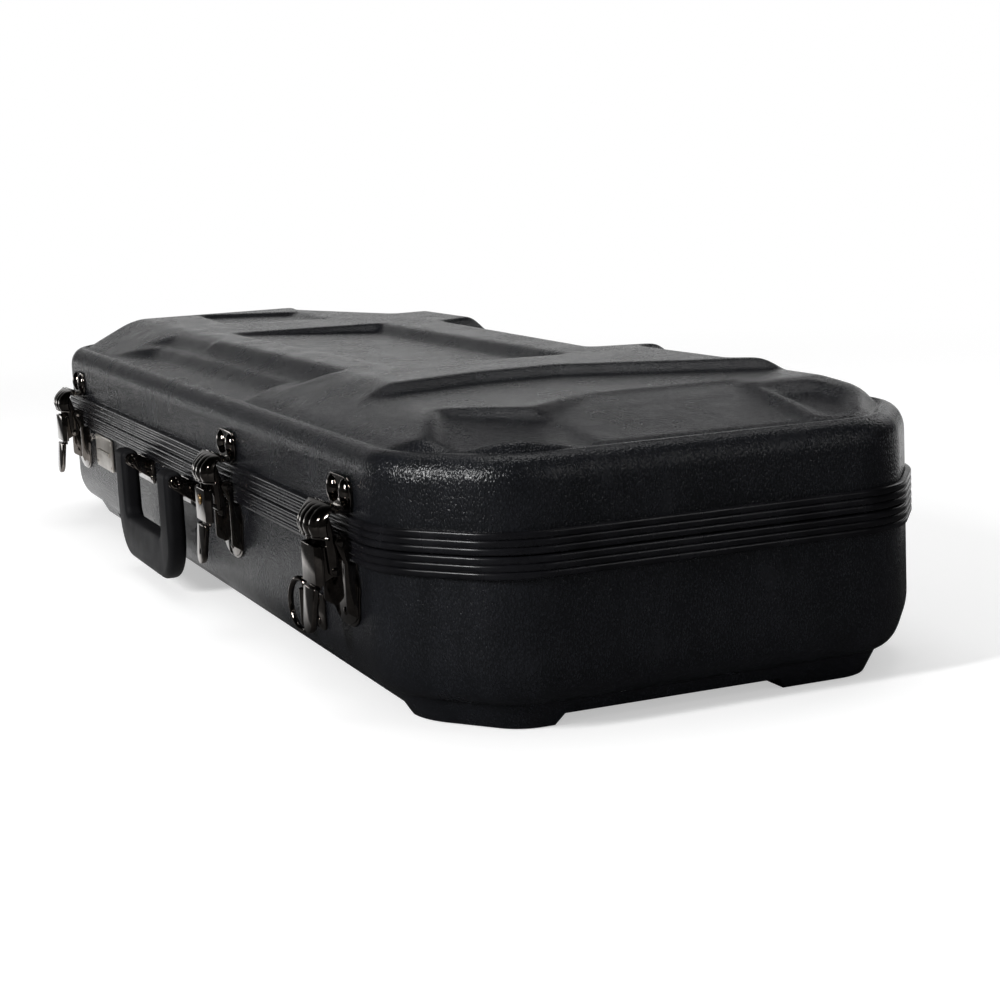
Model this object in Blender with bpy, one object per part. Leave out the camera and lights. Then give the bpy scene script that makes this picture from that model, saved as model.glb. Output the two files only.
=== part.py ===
"""A hard violin case with a sculpted lid, fluted valances, three draw latches and a drop handle.

The case lies on its four moulded feet. X runs along its length, with the strap ring at +X.
The latches face -Y, the hinges +Y, and the floor is at Z = 0. All sizes are in metres.
"""

from math import atan2, cos, hypot, pi, radians, sin, tan

import bmesh
import bpy
from mathutils import Vector

# Running clearance and small working values
GAP = 0.0003
OVERRUN = 0.004
JOINED_DISTANCE = 0.00006
SHARP_ANGLE = radians(34)
ARC_STEPS = 4
ROUND_SIDES = 16
PIN_SIDES = 12

# Case plan, measured over the valances
CASE_LENGTH = 0.820
CASE_WIDTH = 0.284
CHAMFER_LENGTH = 0.055
CHAMFER_WIDTH = 0.043
LONG_CORNER_RADIUS = 0.060
END_CORNER_RADIUS = 0.045

# Heights above the floor, or above the parting
PARTING_HEIGHT = 0.083
FOOT_HEIGHT = 0.006
LID_RISE = 0.059

# Shell walls
WALL = 0.003
WALL_INSET = 0.003

# Valance extrusion
VALANCE_HEIGHT = 0.0105
PARTING_GAP = 0.0006
FLUTE_DEPTH = 0.0008
FLUTE_COUNT = 3
VALANCE_WEB = 0.0030
VALANCE_LEG = 0.0015
VALANCE_LEG_HEIGHT = 0.0085
TONGUE_WIDTH = 0.0015
TONGUE_TAPER = 0.0002
TONGUE_HEIGHT = 0.0016
TONGUE_CLEARANCE = 0.0006

# Base shell, lower edge and feet
BASE_BEND_WIDTH = 0.0125
BASE_BEND_HEIGHT = 0.0210
BASE_BEND_TURN = radians(80)
BASE_BEND_STEPS = 4
PLINTH_HEIGHT = 0.0130
PLINTH_LEDGE = 0.0025
PLINTH_LEDGE_DROP = 0.0005
PLINTH_DRAFT = 0.0062
NEAR_FOOT_LENGTH = 0.078
FAR_FOOT_LENGTH = 0.120
FRONT_FOOT_WIDTH = 0.074
REAR_FOOT_WIDTH = 0.100
FOOT_SIDE_DRAFT = 0.7

# Lid shell, shoulder and raised body
LID_WALL_HEIGHT = 0.0300
SHOULDER_WIDTH = 0.0100
SHOULDER_HEIGHT = 0.0120
SHOULDER_STEPS = 4
LEDGE_WIDTH = 0.0030
BODY_SLOPE_WIDTH = 0.0230
BODY_EDGE_WIDTH = 0.0030
BODY_EDGE_HEIGHT = 0.0015
RECESS_FLARE = 0.9

# Rear hinges
HINGE_WIDTH = 0.040
HINGE_OFFSET = 0.005
HINGE_LEAF = 0.0015
HINGE_LEAF_DROP = 0.030
HINGE_LEAF_START = 0.0020
HINGE_JOGGLE = 0.0012
KNUCKLE_RADIUS = 0.0034
KNUCKLE_WEB_DROP = 0.0050
KNUCKLE_ROLL_START = radians(-135)
KNUCKLE_ROLL_TURN = radians(315)
KNUCKLE_ROLL_STEPS = 11
HINGE_PIN_RADIUS = 0.0015
HINGE_PIN_HEAD_RADIUS = 0.0024
HINGE_PIN_HEAD = 0.0008
HINGE_SPREAD_SHARE = 0.634
KNUCKLE_GAP = 0.0005
KNUCKLE_COUNT = 3

# Draw latches: reach is measured out from the valance's face, rise up from the parting, and
# places along the case are shares of its half length
OUTER_LATCH_SHARE = 0.749
CENTRE_LATCH_SHARE = 0.2634
TRAY_HALF_WIDTH = 0.0180
TRAY_PLATE = 0.0015
TRAY_BOTTOM = -0.0430
TRAY_DEPTH = 0.0035
TRAY_FOOT = 0.0050
EAR_PLATE = 0.0015
EAR_INSET = 0.0003
EAR_RADIUS = 0.0033
PIVOT_REACH = 0.0042
PIVOT_RISE = -0.0005
LATCH_PIN_RADIUS = 0.0013
LATCH_PIN_HEAD_RADIUS = 0.0022
LATCH_PIN_HEAD = 0.0008
HOOK_PIN_REACH = 0.0072
HOOK_PIN_RISE = -0.0140
LEVER_FACE = 0.0155
LEVER_PLATE = 0.0013
LEVER_HALF_WIDTH = 0.0135
LEVER_FACE_HALF_WIDTH = 0.0100
LEVER_BEVEL_DEPTH = 0.0025
LEVER_TOP = -0.0026
LEVER_BOTTOM = -0.0195
LEVER_FLANGE = 0.0011
LEVER_FLANGE_INSET = 0.0002
LEVER_LUG_RADIUS = 0.0030
LEVER_LUG_START = radians(70)
LEVER_LUG_TURN = radians(120)
HOOK_LUG_RADIUS = 0.0027
TAB_STEP = 0.0013
TAB_OVERLAP = 0.0030
TAB_BOTTOM = -0.0450
TAB_HALF_WIDTH = 0.0085
TAB_TIP_HALF_WIDTH = 0.0072
TAB_LEAN = 0.0015
TAB_PLATE = 0.0016
TAB_HOLE_RADIUS = 0.0017
CHEEK_OUTSIDE = 0.0156
CHEEK_PLATE = 0.0013
DOME_HALF_WIDTH = 0.0180
DOME_REACH = 0.0176
DOME_BOTTOM = -0.0018
DOME_TIP_REACH = 0.0074
DOME_TIP_RISE = 0.0164
DOME_PLATE = 0.0016
DOME_RIB_DEPTH = 0.0010
DOME_RIBS = 5
DOME_STATIONS_PER_RIB = 2
DOME_SIDE_FALL = 0.0030
KEEPER_HALF_WIDTH = 0.0175
KEEPER_PLATE = 0.0015
KEEPER_BOTTOM = 0.0112
KEEPER_TOP = 0.0285
KEEPER_CORNER = 0.0050
KEEPER_LIP_HALF_WIDTH = 0.0160
KEEPER_LIP_REACH = 0.0063
KEEPER_LIP_BOTTOM = 0.0125
KEEPER_LIP_HEIGHT = 0.0040
KEEPER_LIP_PLATE = 0.0015
LOBE_SPREAD = 0.0108
LOBE_RADIUS = 0.0062
LOBE_RISE = 0.0212
LOBE_REACH = 0.0045
LOBE_SIDES = 12
LOBE_TURN = radians(75)
LOBE_STEPS = 3
LOCK_RADIUS = 0.0030
LOCK_LENGTH = 0.0062
LOCK_PROUD = 0.0006
LOCK_RISE = -0.0087
KEYWAY_WIDTH = 0.0009
KEYWAY_HEIGHT = 0.0038
KEYWAY_DEPTH = 0.0015

# Handle, its brackets and pins
HANDLE_SHARE = -0.1073
HANDLE_HALF_WIDTH = 0.070
HANDLE_ARM_WIDTH = 0.023
HANDLE_BACK = 0.0046
HANDLE_FACE = 0.0160
HANDLE_TOP = -0.0048
HANDLE_BOTTOM = -0.0730
HANDLE_GRIP_HEIGHT = 0.0270
HANDLE_OUTER_RADIUS = 0.030
HANDLE_INNER_RADIUS = 0.006
HANDLE_TOP_RADIUS = 0.004
HANDLE_EDGE = 0.0024
HANDLE_EDGE_ANGLE = radians(50)
HANDLE_PIN_REACH = 0.0100
HANDLE_PIN_RISE = -0.0105
HANDLE_PIN_RADIUS = 0.0020
HANDLE_PIN_HEAD_RADIUS = 0.0032
HANDLE_PIN_HEAD = 0.0012
HANDLE_PIN_HOLLOW = 0.0014
BRACKET_EAR = 0.0020
BRACKET_EAR_RADIUS = 0.0042
BRACKET_SIDE_PLAY = 0.0005
BRACKET_TAIL = 0.0090
BRACKET_PLATE = 0.0015
BRACKET_TOP = -0.0112
BRACKET_BOTTOM = -0.0265
BRACKET_CORNER = 0.0025

# Strap ring and its bracket, beside the right latch
RING_LATCH_DISTANCE = 0.057
RING_TUBE_REACH = 0.0008
RING_TUBE_RADIUS = 0.0032
RING_WIRE_RADIUS = 0.0015
RING_WIRE_SIDES = 8
RING_RISE = -0.0445
RING_PLATE = 0.0013
RING_PLATE_LENGTH = 0.0220
RING_TUBE_LENGTH = 0.0180
RING_HALF_HEIGHT = 0.0130
RING_DEPTH = 0.0180
RING_TILT = radians(8)
RING_CORNER = 0.0035

# Bare nameplate, beside the left latch
NAMEPLATE_LATCH_DISTANCE = 0.072
NAMEPLATE_WIDTH = 0.054
NAMEPLATE_HEIGHT = 0.023
NAMEPLATE_TOP = -0.0125
NAMEPLATE_THICKNESS = 0.0012
NAMEPLATE_CORNER = 0.0020
NAMEPLATE_BEAD_LENGTH = 0.038
NAMEPLATE_BEAD_HEIGHT = 0.0030
NAMEPLATE_BEAD_DEPTH = 0.0010

# Padded insert with the instrument's well
INSERT_TOP = -0.0120
WELL_DEPTH = 0.046
NECK_WELL_DEPTH = 0.036
WELL_END_MARGIN = 0.030
WELL_LENGTH = 0.366
WELL_HALF_WIDTH = 0.110
NECK_LENGTH = 0.150
NECK_HALF_WIDTH = 0.026
SCROLL_LENGTH = 0.095
SCROLL_HALF_WIDTH = 0.036
POCKET_CORNER = 0.014
ACCESSORY_LENGTH = 0.124
ACCESSORY_HALF_WIDTH = 0.094
ACCESSORY_END_MARGIN = 0.040
ACCESSORY_DEPTH = 0.050
SIDE_BOX_LENGTH = 0.190
SIDE_BOX_INNER = 0.046
SIDE_BOX_OUTER = 0.118
SIDE_BOX_WELL_DISTANCE = 0.034
SIDE_BOX_DEPTH = 0.050
NECK_STRAP_WIDTH = 0.025
NECK_STRAP_THICKNESS = 0.0016
NECK_STRAP_RISE = 0.009
NECK_STRAP_FOOT = 0.012
NECK_STRAP_SPAN = 0.070
NECK_STRAP_STEPS = 8

# Lid lining and bow holders
LINING_BOTTOM = 0.0280
LINING_TOP = 0.0385
BOW_SPREAD = 0.068
BOW_CLIP_SHARE = 0.549
BOW_LOOP_SHARE = -0.707
CLIP_DISC_RADIUS = 0.011
CLIP_DISC = 0.0025
CLIP_SHAFT_RADIUS = 0.0030
CLIP_HEAD_RADIUS = 0.0055
CLIP_HEAD = 0.0020
TOGGLE_LENGTH = 0.046
TOGGLE_WIDTH = 0.012
TOGGLE_THICKNESS = 0.0050
LOOP_WIDTH = 0.020
LOOP_THICKNESS = 0.0015
LOOP_DROP = 0.013
LOOP_SPAN = 0.024
LOOP_FOOT = 0.008
LOOP_STEPS = 8

# The violin's body: half widths along its length, both as shares of the well
VIOLIN_SHARES = (
    (0.000, 0.30),
    (0.020, 0.55),
    (0.075, 0.82),
    (0.170, 0.98),
    (0.270, 1.00),
    (0.370, 0.90),
    (0.460, 0.72),
    (0.550, 0.67),
    (0.640, 0.71),
    (0.740, 0.80),
    (0.830, 0.82),
    (0.920, 0.70),
    (0.975, 0.50),
    (1.000, 0.34),
)

# Half widths of a latch's base plate down its height, both as shares
TRAY_SHARES = (
    (0.00, 1.00),
    (0.16, 1.02),
    (0.36, 1.14),
    (0.56, 1.05),
    (0.78, 1.00),
    (0.92, 0.78),
    (1.00, 0.40),
)

# The hook's ribbed dome from its bottom edge to its tip: shares of reach and of rise
DOME_SHARES = ((0.86, 0.00), (1.00, 0.30), (0.86, 0.62), (0.46, 0.88), (0.00, 1.00))

# Recesses in the lid: the floor's corners as shares of the case's half length and half width,
# anticlockwise from above, and the heights of the first three as shares of the raised body
RECESS_SHARES = {
    "terrace": (
        ((1.10, 1.10), (0.478, 1.10), (0.478, -1.10), (1.10, -1.10)),
        (0.70, 0.70, 0.70),
    ),
    "near_scoop": (
        ((0.963, -0.34), (0.963, 0.40), (0.745, 0.46), (0.745, -0.26)),
        (0.06, 0.06, 0.70),
    ),
    "near_corner_scoop": (
        ((0.905, -0.80), (0.966, -0.35), (0.835, -0.36), (0.755, -0.62)),
        (0.06, 0.06, 0.55),
    ),
    "front_scoop": (
        ((0.37, -0.895), (0.77, -0.895), (0.72, -0.725), (0.37, -0.56)),
        (0.06, 0.33, 0.70),
    ),
    "rear_scoop": (
        ((0.37, 0.895), (0.37, 0.58), (0.60, 0.66), (0.62, 0.895)),
        (0.06, 0.70, 0.70),
    ),
    "rear_corner_trough": (
        ((0.907, 0.465), (0.946, 0.55), (0.854, 0.725), (0.720, 0.852), (0.654, 0.76)),
        (0.24, 0.24, 0.24),
    ),
    "front_pocket": (
        ((-0.55, -0.905), (0.325, -0.905), (0.295, -0.575), (-0.50, -0.70)),
        (0.20, 0.20, 0.20),
    ),
    "front_pocket_step": (
        ((-0.57, -0.905), (0.335, -0.905), (0.345, -0.50), (-0.465, -0.635)),
        (0.53, 0.53, 0.53),
    ),
    "rear_pocket": (
        ((0.325, 0.905), (-0.35, 0.905), (-0.31, 0.66), (0.295, 0.60)),
        (0.30, 0.30, 0.30),
    ),
    "panel": (
        ((-0.46, -0.385), (0.27, -0.385), (0.27, 0.41), (-0.46, 0.41)),
        (0.72, 0.72, 0.72),
    ),
    "far_front_scoop": (
        ((-0.90, -0.72), (-0.62, -0.92), (-0.58, -0.61), (-0.84, -0.26), (-0.965, -0.40)),
        (0.06, 0.06, 0.93),
    ),
    "far_rear_scoop": (
        ((-0.62, 0.92), (-0.90, 0.72), (-0.965, 0.40), (-0.84, 0.26), (-0.58, 0.61)),
        (0.06, 0.06, 0.30),
    ),
}

# Places worked out from the sizes above
HALF_LENGTH = CASE_LENGTH / 2
HALF_WIDTH = CASE_WIDTH / 2
VALANCE_FACE = PARTING_GAP / 2
SLOT_RISE = VALANCE_FACE + VALANCE_WEB
SHELL_RIM = SLOT_RISE + GAP
SHELL_INSIDE = WALL_INSET + WALL
PLATE_REACH = GAP - WALL_INSET
PLATE_RISE = VALANCE_HEIGHT + GAP
FLOOR_RISE = FOOT_HEIGHT - PARTING_HEIGHT
LEDGE_RISE = LID_WALL_HEIGHT + SHOULDER_HEIGHT
LEDGE_INSET = WALL_INSET + SHOULDER_WIDTH + LEDGE_WIDTH
HINGE_AXIS = (0, HALF_WIDTH + HINGE_OFFSET, PARTING_HEIGHT)
FRONT_REACH = LEVER_FACE + TAB_STEP + TAB_LEAN
REAR_REACH = HINGE_OFFSET + KNUCKLE_RADIUS
FRAME_SHIFT = (FRONT_REACH - REAR_REACH) / 2
PIN_HOLE_RADIUS = LATCH_PIN_RADIUS + GAP
FLANGE_OUTSIDE = LEVER_HALF_WIDTH - LEVER_FLANGE_INSET
TRAY_WALL_OUTSIDE = TRAY_HALF_WIDTH - EAR_INSET
LATCH_PLACES = {
    "left": -OUTER_LATCH_SHARE * HALF_LENGTH,
    "centre": CENTRE_LATCH_SHARE * HALF_LENGTH,
    "right": OUTER_LATCH_SHARE * HALF_LENGTH,
}
HINGE_PLACES = (-HINGE_SPREAD_SHARE * HALF_LENGTH, 0, HINGE_SPREAD_SHARE * HALF_LENGTH)
HANDLE_PLACE = HANDLE_SHARE * HALF_LENGTH
RING_PLACE = LATCH_PLACES["right"] - RING_LATCH_DISTANCE
NAMEPLATE_PLACE = LATCH_PLACES["left"] + NAMEPLATE_LATCH_DISTANCE
BOW_CLIP_PLACE = BOW_CLIP_SHARE * HALF_LENGTH
BOW_LOOP_PLACE = BOW_LOOP_SHARE * HALF_LENGTH
WELL_FAR_END = HALF_LENGTH - WELL_END_MARGIN - WELL_LENGTH


# Scene and materials


def clear_scene():
    """Removes every object, mesh and material."""
    for item in list(bpy.data.objects):
        bpy.data.objects.remove(item, do_unlink=True)
    for store in (bpy.data.meshes, bpy.data.materials):
        for item in list(store):
            store.remove(item)


def material(name, colour, roughness, metallic):
    """A plain surface with its colour, roughness and metallic value."""
    made = bpy.data.materials.new(name)
    made.use_nodes = True
    surface = made.node_tree.nodes["Principled BSDF"]
    surface.inputs["Base Color"].default_value = (*colour, 1)
    surface.inputs["Roughness"].default_value = roughness
    surface.inputs["Metallic"].default_value = metallic
    return made


def make_materials():
    """The finishes seen on the case and those of its lining."""
    return {
        "shell": material("black_grained_abs", (0.020, 0.020, 0.023), 0.55, 0),
        "valance": material("black_satin_aluminium", (0.018, 0.018, 0.021), 0.32, 0.6),
        "hardware": material("black_nickel", (0.20, 0.19, 0.18), 0.18, 1),
        "brass": material("brass", (0.75, 0.55, 0.24), 0.25, 1),
        "handle": material("black_moulding", (0.022, 0.022, 0.026), 0.45, 0),
        "plate": material("satin_nameplate", (0.34, 0.33, 0.32), 0.40, 0.9),
        "plush": material("dark_plush", (0.045, 0.045, 0.055), 0.95, 0),
        "ribbon": material("black_ribbon", (0.020, 0.020, 0.020), 0.85, 0),
    }


# Building blocks


def finish(name, bm, surface, origin, root):
    """Turns a bmesh into a named object whose own origin is the given point of the case."""
    bmesh.ops.recalc_face_normals(bm, faces=bm.faces)
    bmesh.ops.translate(bm, verts=bm.verts, vec=-Vector(origin))
    mesh = bpy.data.meshes.new(name)
    bm.to_mesh(mesh)
    bm.free()
    mesh.shade_smooth()
    mesh.set_sharp_from_angle(angle=SHARP_ANGLE)
    made = bpy.data.objects.new(name, mesh)
    made.location = origin
    made.parent = root
    if surface:
        mesh.materials.append(surface)
    bpy.context.collection.objects.link(made)
    return made


def combine(target, operation, name, bm, root):
    """Joins a shape to the target, or cuts it away, with a hidden tool object."""
    tool = finish(f"{target.name}_{name}", bm, None, (0, 0, 0), root)
    tool.hide_render = True
    tool.display_type = "WIRE"
    modifier = target.modifiers.new(name, "BOOLEAN")
    modifier.operation = operation
    modifier.solver = "EXACT"
    modifier.object = tool


def loft(bm, rings):
    """Skins rings of equal count and caps both ends."""
    made = [[bm.verts.new(point) for point in ring] for ring in rings]
    for lower, upper in zip(made, made[1:]):
        for side in range(len(lower)):
            bm.faces.new((lower[side - 1], lower[side], upper[side], upper[side - 1]))
    bm.faces.new(reversed(made[0]))
    bm.faces.new(made[-1])


def closed_loft(bm, rings):
    """Skins rings of equal count into one closed band."""
    made = [[bm.verts.new(point) for point in ring] for ring in rings]
    for index in range(len(made)):
        lower, upper = made[index - 1], made[index]
        for side in range(len(lower)):
            bm.faces.new((lower[side - 1], lower[side], upper[side], upper[side - 1]))


def prism(bm, outline, offset):
    """Extrudes a closed outline of points by a vector."""
    shift = Vector(offset)
    lower = [Vector(point) for point in outline]
    loft(bm, [lower, [point + shift for point in lower]])


def turned(bm, centre, axis, profile, sides):
    """Turns a profile of (radius, distance along the axis) into a solid with flat ends."""
    direction = Vector(axis).normalized()
    across = direction.orthogonal().normalized()
    third = direction.cross(across)
    rings = []
    for radius, along in profile:
        middle = Vector(centre) + direction * along
        turns = [2 * pi * side / sides for side in range(sides)]
        rings.append([middle + radius * (cos(turn) * across + sin(turn) * third) for turn in turns])
    loft(bm, rings)


def bar(bm, start, end, radius, sides):
    """A round bar between two points."""
    axis = Vector(end) - Vector(start)
    turned(bm, start, axis, [(radius, 0), (radius, axis.length)], sides)


def arc(centre, radius, start, turn, steps):
    """Points of a plane arc, from the start angle through the turn."""
    angles = [start + turn * step / steps for step in range(steps + 1)]
    return [(centre[0] + radius * cos(angle), centre[1] + radius * sin(angle)) for angle in angles]


def side_normal(start, end):
    """The unit vector to the right of the way from start to end."""
    along = (end[0] - start[0], end[1] - start[1])
    size = hypot(*along)
    return along[1] / size, -along[0] / size


def corner_offset(point, before, after, distance):
    """Moves a corner so that both of its sides, given by their normals, move by a distance."""
    share = distance / (1 + before[0] * after[0] + before[1] * after[1])
    return point[0] + share * (before[0] + after[0]), point[1] + share * (before[1] + after[1])


def offset_line(points, distance):
    """Moves an open line to its right by a distance, or to its left when negative."""
    normals = [side_normal(start, end) for start, end in zip(points, points[1:])]
    normals = [normals[0]] + normals + [normals[-1]]
    return [
        corner_offset(point, normals[index], normals[index + 1], distance)
        for index, point in enumerate(points)
    ]


def offset_polygon(points, distance):
    """Moves each side of an anticlockwise polygon out by a distance, or in when negative."""
    normals = [side_normal(points[index - 1], points[index]) for index in range(len(points))]
    normals.append(normals[0])
    return [
        corner_offset(point, normals[index], normals[index + 1], distance)
        for index, point in enumerate(points)
    ]


def round_polygon(points, radii, steps):
    """Replaces each corner of an anticlockwise polygon by an arc of its own radius."""
    rounded = []
    count = len(points)
    for index in range(count):
        here = Vector(points[index])
        back = (Vector(points[index - 1]) - here).normalized()
        ahead = (Vector(points[(index + 1) % count]) - here).normalized()
        half = back.angle(ahead) / 2
        centre = here + (back + ahead).normalized() * radii[index] / sin(half)
        foot = here + back * radii[index] / tan(half) - centre
        turn = pi - 2 * half
        if back.x * ahead.y > back.y * ahead.x:
            turn = -turn
        rounded += arc(centre, radii[index], atan2(foot.y, foot.x), turn, steps)
    return rounded


def rounded_rectangle(left, right, low, high, radius, steps):
    """An anticlockwise rectangle with round corners."""
    corners = [(left, low), (right, low), (right, high), (left, high)]
    return round_polygon(corners, [radius] * len(corners), steps)


def mix(low, high, share):
    """The value a share of the way from low to high."""
    return low + (high - low) * share


# Places on the case


def plan_ring(inset, rise):
    """The case's plan moved in by an inset, at a rise above the parting."""
    side, end = HALF_LENGTH - CHAMFER_LENGTH, HALF_WIDTH - CHAMFER_WIDTH
    corners = [
        (-HALF_LENGTH, -end),
        (-side, -HALF_WIDTH),
        (side, -HALF_WIDTH),
        (HALF_LENGTH, -end),
        (HALF_LENGTH, end),
        (side, HALF_WIDTH),
        (-side, HALF_WIDTH),
        (-HALF_LENGTH, end),
    ]
    tight, wide = END_CORNER_RADIUS - inset, LONG_CORNER_RADIUS - inset
    radii = [tight, wide, wide, tight, tight, wide, wide, tight]
    outline = round_polygon(offset_polygon(corners, -inset), radii, ARC_STEPS)
    return [(x, y, PARTING_HEIGHT + rise) for x, y in outline]


def plan_rings(profile):
    """Rings of the plan for a profile of (inset, rise)."""
    return [plan_ring(inset, rise) for inset, rise in profile]


def front(x, reach, rise):
    """A point before the front valance's face, by reach out and rise above the parting."""
    return Vector((x, -HALF_WIDTH - reach, PARTING_HEIGHT + rise))


def rear(x, reach, rise):
    """A point behind the rear valance's face, by reach out and rise above the parting."""
    return Vector((x, HALF_WIDTH + reach, PARTING_HEIGHT + rise))


def front_prism(bm, outline, reach, depth):
    """Extrudes an outline of (x, rise) out from a reach by a depth."""
    prism(bm, [front(x, reach, rise) for x, rise in outline], (0, -depth, 0))


def front_slice(bm, outline, left, right):
    """Extrudes an outline of (reach, rise) along the front from left to right."""
    prism(bm, [front(left, reach, rise) for reach, rise in outline], (right - left, 0, 0))


def paired_slices(bm, outline, x, outside, thickness):
    """Two plates of one outline, either side of x, with their outer faces at a distance."""
    for side in (-1, 1):
        front_slice(bm, outline, x + side * outside, x + side * (outside - thickness))


# Base shell and valances


def base_outline():
    """The base's outer profile from rim to foot, as (inset, rise)."""
    ledge_rise = PLINTH_HEIGHT - PARTING_HEIGHT
    bend_top = ledge_rise + PLINTH_LEDGE_DROP + BASE_BEND_HEIGHT * sin(BASE_BEND_TURN)
    outline = [(WALL_INSET, -SHELL_RIM)]
    for step in range(BASE_BEND_STEPS + 1):
        turn = BASE_BEND_TURN * step / BASE_BEND_STEPS
        across = WALL_INSET + BASE_BEND_WIDTH * (1 - cos(turn))
        outline.append((across, bend_top - BASE_BEND_HEIGHT * sin(turn)))
    ledge_inset = outline[-1][0] + PLINTH_LEDGE
    outline.append((ledge_inset, ledge_rise))
    outline.append((ledge_inset + PLINTH_DRAFT, -PARTING_HEIGHT))
    return outline


def base_inside(distance):
    """The base's profile moved in by a distance, down to the floor between the feet."""
    outline = base_outline()
    ledge, foot = outline[-2], outline[-1]
    share = (FLOOR_RISE - ledge[1]) / (foot[1] - ledge[1])
    corner = (mix(ledge[0], foot[0], share), FLOOR_RISE)
    beyond = (corner[0] + PLINTH_DRAFT, FLOOR_RISE)
    return offset_line(outline[:-1] + [corner, beyond], -distance)[:-1]


def make_base_shell(surfaces, root):
    """The lower shell with its rounded lower edge, plinth and four moulded feet."""
    bm = bmesh.new()
    loft(bm, plan_rings(list(reversed(base_outline())) + base_inside(WALL)))
    shell = finish("base_shell", bm, surfaces["shell"], (0, 0, 0), root)

    left, right = FAR_FOOT_LENGTH - HALF_LENGTH, HALF_LENGTH - NEAR_FOOT_LENGTH
    low, high = FRONT_FOOT_WIDTH - HALF_WIDTH, HALF_WIDTH - REAR_FOOT_WIDTH
    cross = [
        (left, low), (left, -CASE_WIDTH), (right, -CASE_WIDTH), (right, low),
        (CASE_LENGTH, low), (CASE_LENGTH, high), (right, high), (right, CASE_WIDTH),
        (left, CASE_WIDTH), (left, high), (-CASE_LENGTH, high), (-CASE_LENGTH, low),
    ]
    flared = offset_polygon(cross, FOOT_SIDE_DRAFT * (FOOT_HEIGHT + OVERRUN))
    bm = bmesh.new()
    loft(bm, [[(x, y, -OVERRUN) for x, y in flared], [(x, y, FOOT_HEIGHT) for x, y in cross]])
    combine(shell, "DIFFERENCE", "foot_gap", bm, root)


def valance_flutes():
    """The valance's fluted face from the parting outwards, as (inset, distance)."""
    pitch = (VALANCE_HEIGHT - VALANCE_FACE) / FLUTE_COUNT
    face = []
    for flute in range(FLUTE_COUNT):
        start = VALANCE_FACE + pitch * flute
        face.append((FLUTE_DEPTH, start))
        face.append((0, start + FLUTE_DEPTH))
        face.append((0, start + pitch - FLUTE_DEPTH))
    return face + [(FLUTE_DEPTH, VALANCE_HEIGHT)]


def valance_back():
    """The slot for the shell's wall and the valance's inner leg, as (inset, distance)."""
    inner = SHELL_INSIDE + GAP
    leg = inner + VALANCE_LEG
    return [
        (WALL_INSET - GAP, VALANCE_HEIGHT),
        (WALL_INSET - GAP, SLOT_RISE),
        (inner, SLOT_RISE),
        (inner, VALANCE_LEG_HEIGHT),
        (leg, VALANCE_LEG_HEIGHT),
        (leg, VALANCE_FACE),
    ]


def make_valances(surfaces, root):
    """The lower extrusion with its tongue and the upper one with the groove for it."""
    middle = (WALL_INSET + SHELL_INSIDE) / 2
    half = TONGUE_WIDTH / 2
    tongue = [
        (middle + half, -VALANCE_FACE),
        (middle + half - TONGUE_TAPER, TONGUE_HEIGHT),
        (middle - half + TONGUE_TAPER, TONGUE_HEIGHT),
        (middle - half, -VALANCE_FACE),
    ]
    lower = [(inset, -rise) for inset, rise in valance_flutes() + valance_back()]
    bm = bmesh.new()
    closed_loft(bm, plan_rings(lower + tongue))
    finish("base_valance", bm, surfaces["valance"], (0, 0, 0), root)

    half += TONGUE_CLEARANCE
    groove = [
        (middle + half, VALANCE_FACE),
        (middle + half, TONGUE_HEIGHT + TONGUE_CLEARANCE),
        (middle - half, TONGUE_HEIGHT + TONGUE_CLEARANCE),
        (middle - half, VALANCE_FACE),
    ]
    bm = bmesh.new()
    closed_loft(bm, plan_rings(valance_flutes() + valance_back() + groove))
    finish("lid_valance", bm, surfaces["valance"], HINGE_AXIS, root)


# Lid shell


def lid_outline():
    """The lid's outer profile from rim to plateau, as (inset, rise)."""
    outline = [(WALL_INSET, SHELL_RIM)]
    for step in range(SHOULDER_STEPS + 1):
        turn = pi / 2 * step / SHOULDER_STEPS
        across = WALL_INSET + SHOULDER_WIDTH * (1 - cos(turn))
        outline.append((across, LID_WALL_HEIGHT + SHOULDER_HEIGHT * sin(turn)))
    top = LEDGE_INSET + BODY_SLOPE_WIDTH
    outline.append((LEDGE_INSET, LEDGE_RISE))
    outline.append((top, LID_RISE - BODY_EDGE_HEIGHT))
    outline.append((top + BODY_EDGE_WIDTH, LID_RISE))
    return outline


def cut_away(bm, point, normal):
    """Cuts a closed mesh with a plane, drops what lies beyond it and closes the cut."""
    whole = bm.verts[:] + bm.edges[:] + bm.faces[:]
    cut = bmesh.ops.bisect_plane(bm, geom=whole, plane_co=point, plane_no=normal, clear_outer=True)
    edges = [item for item in cut["geom_cut"] if isinstance(item, bmesh.types.BMEdge)]
    if edges:
        bmesh.ops.edgeloop_fill(bm, edges=edges)


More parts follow.
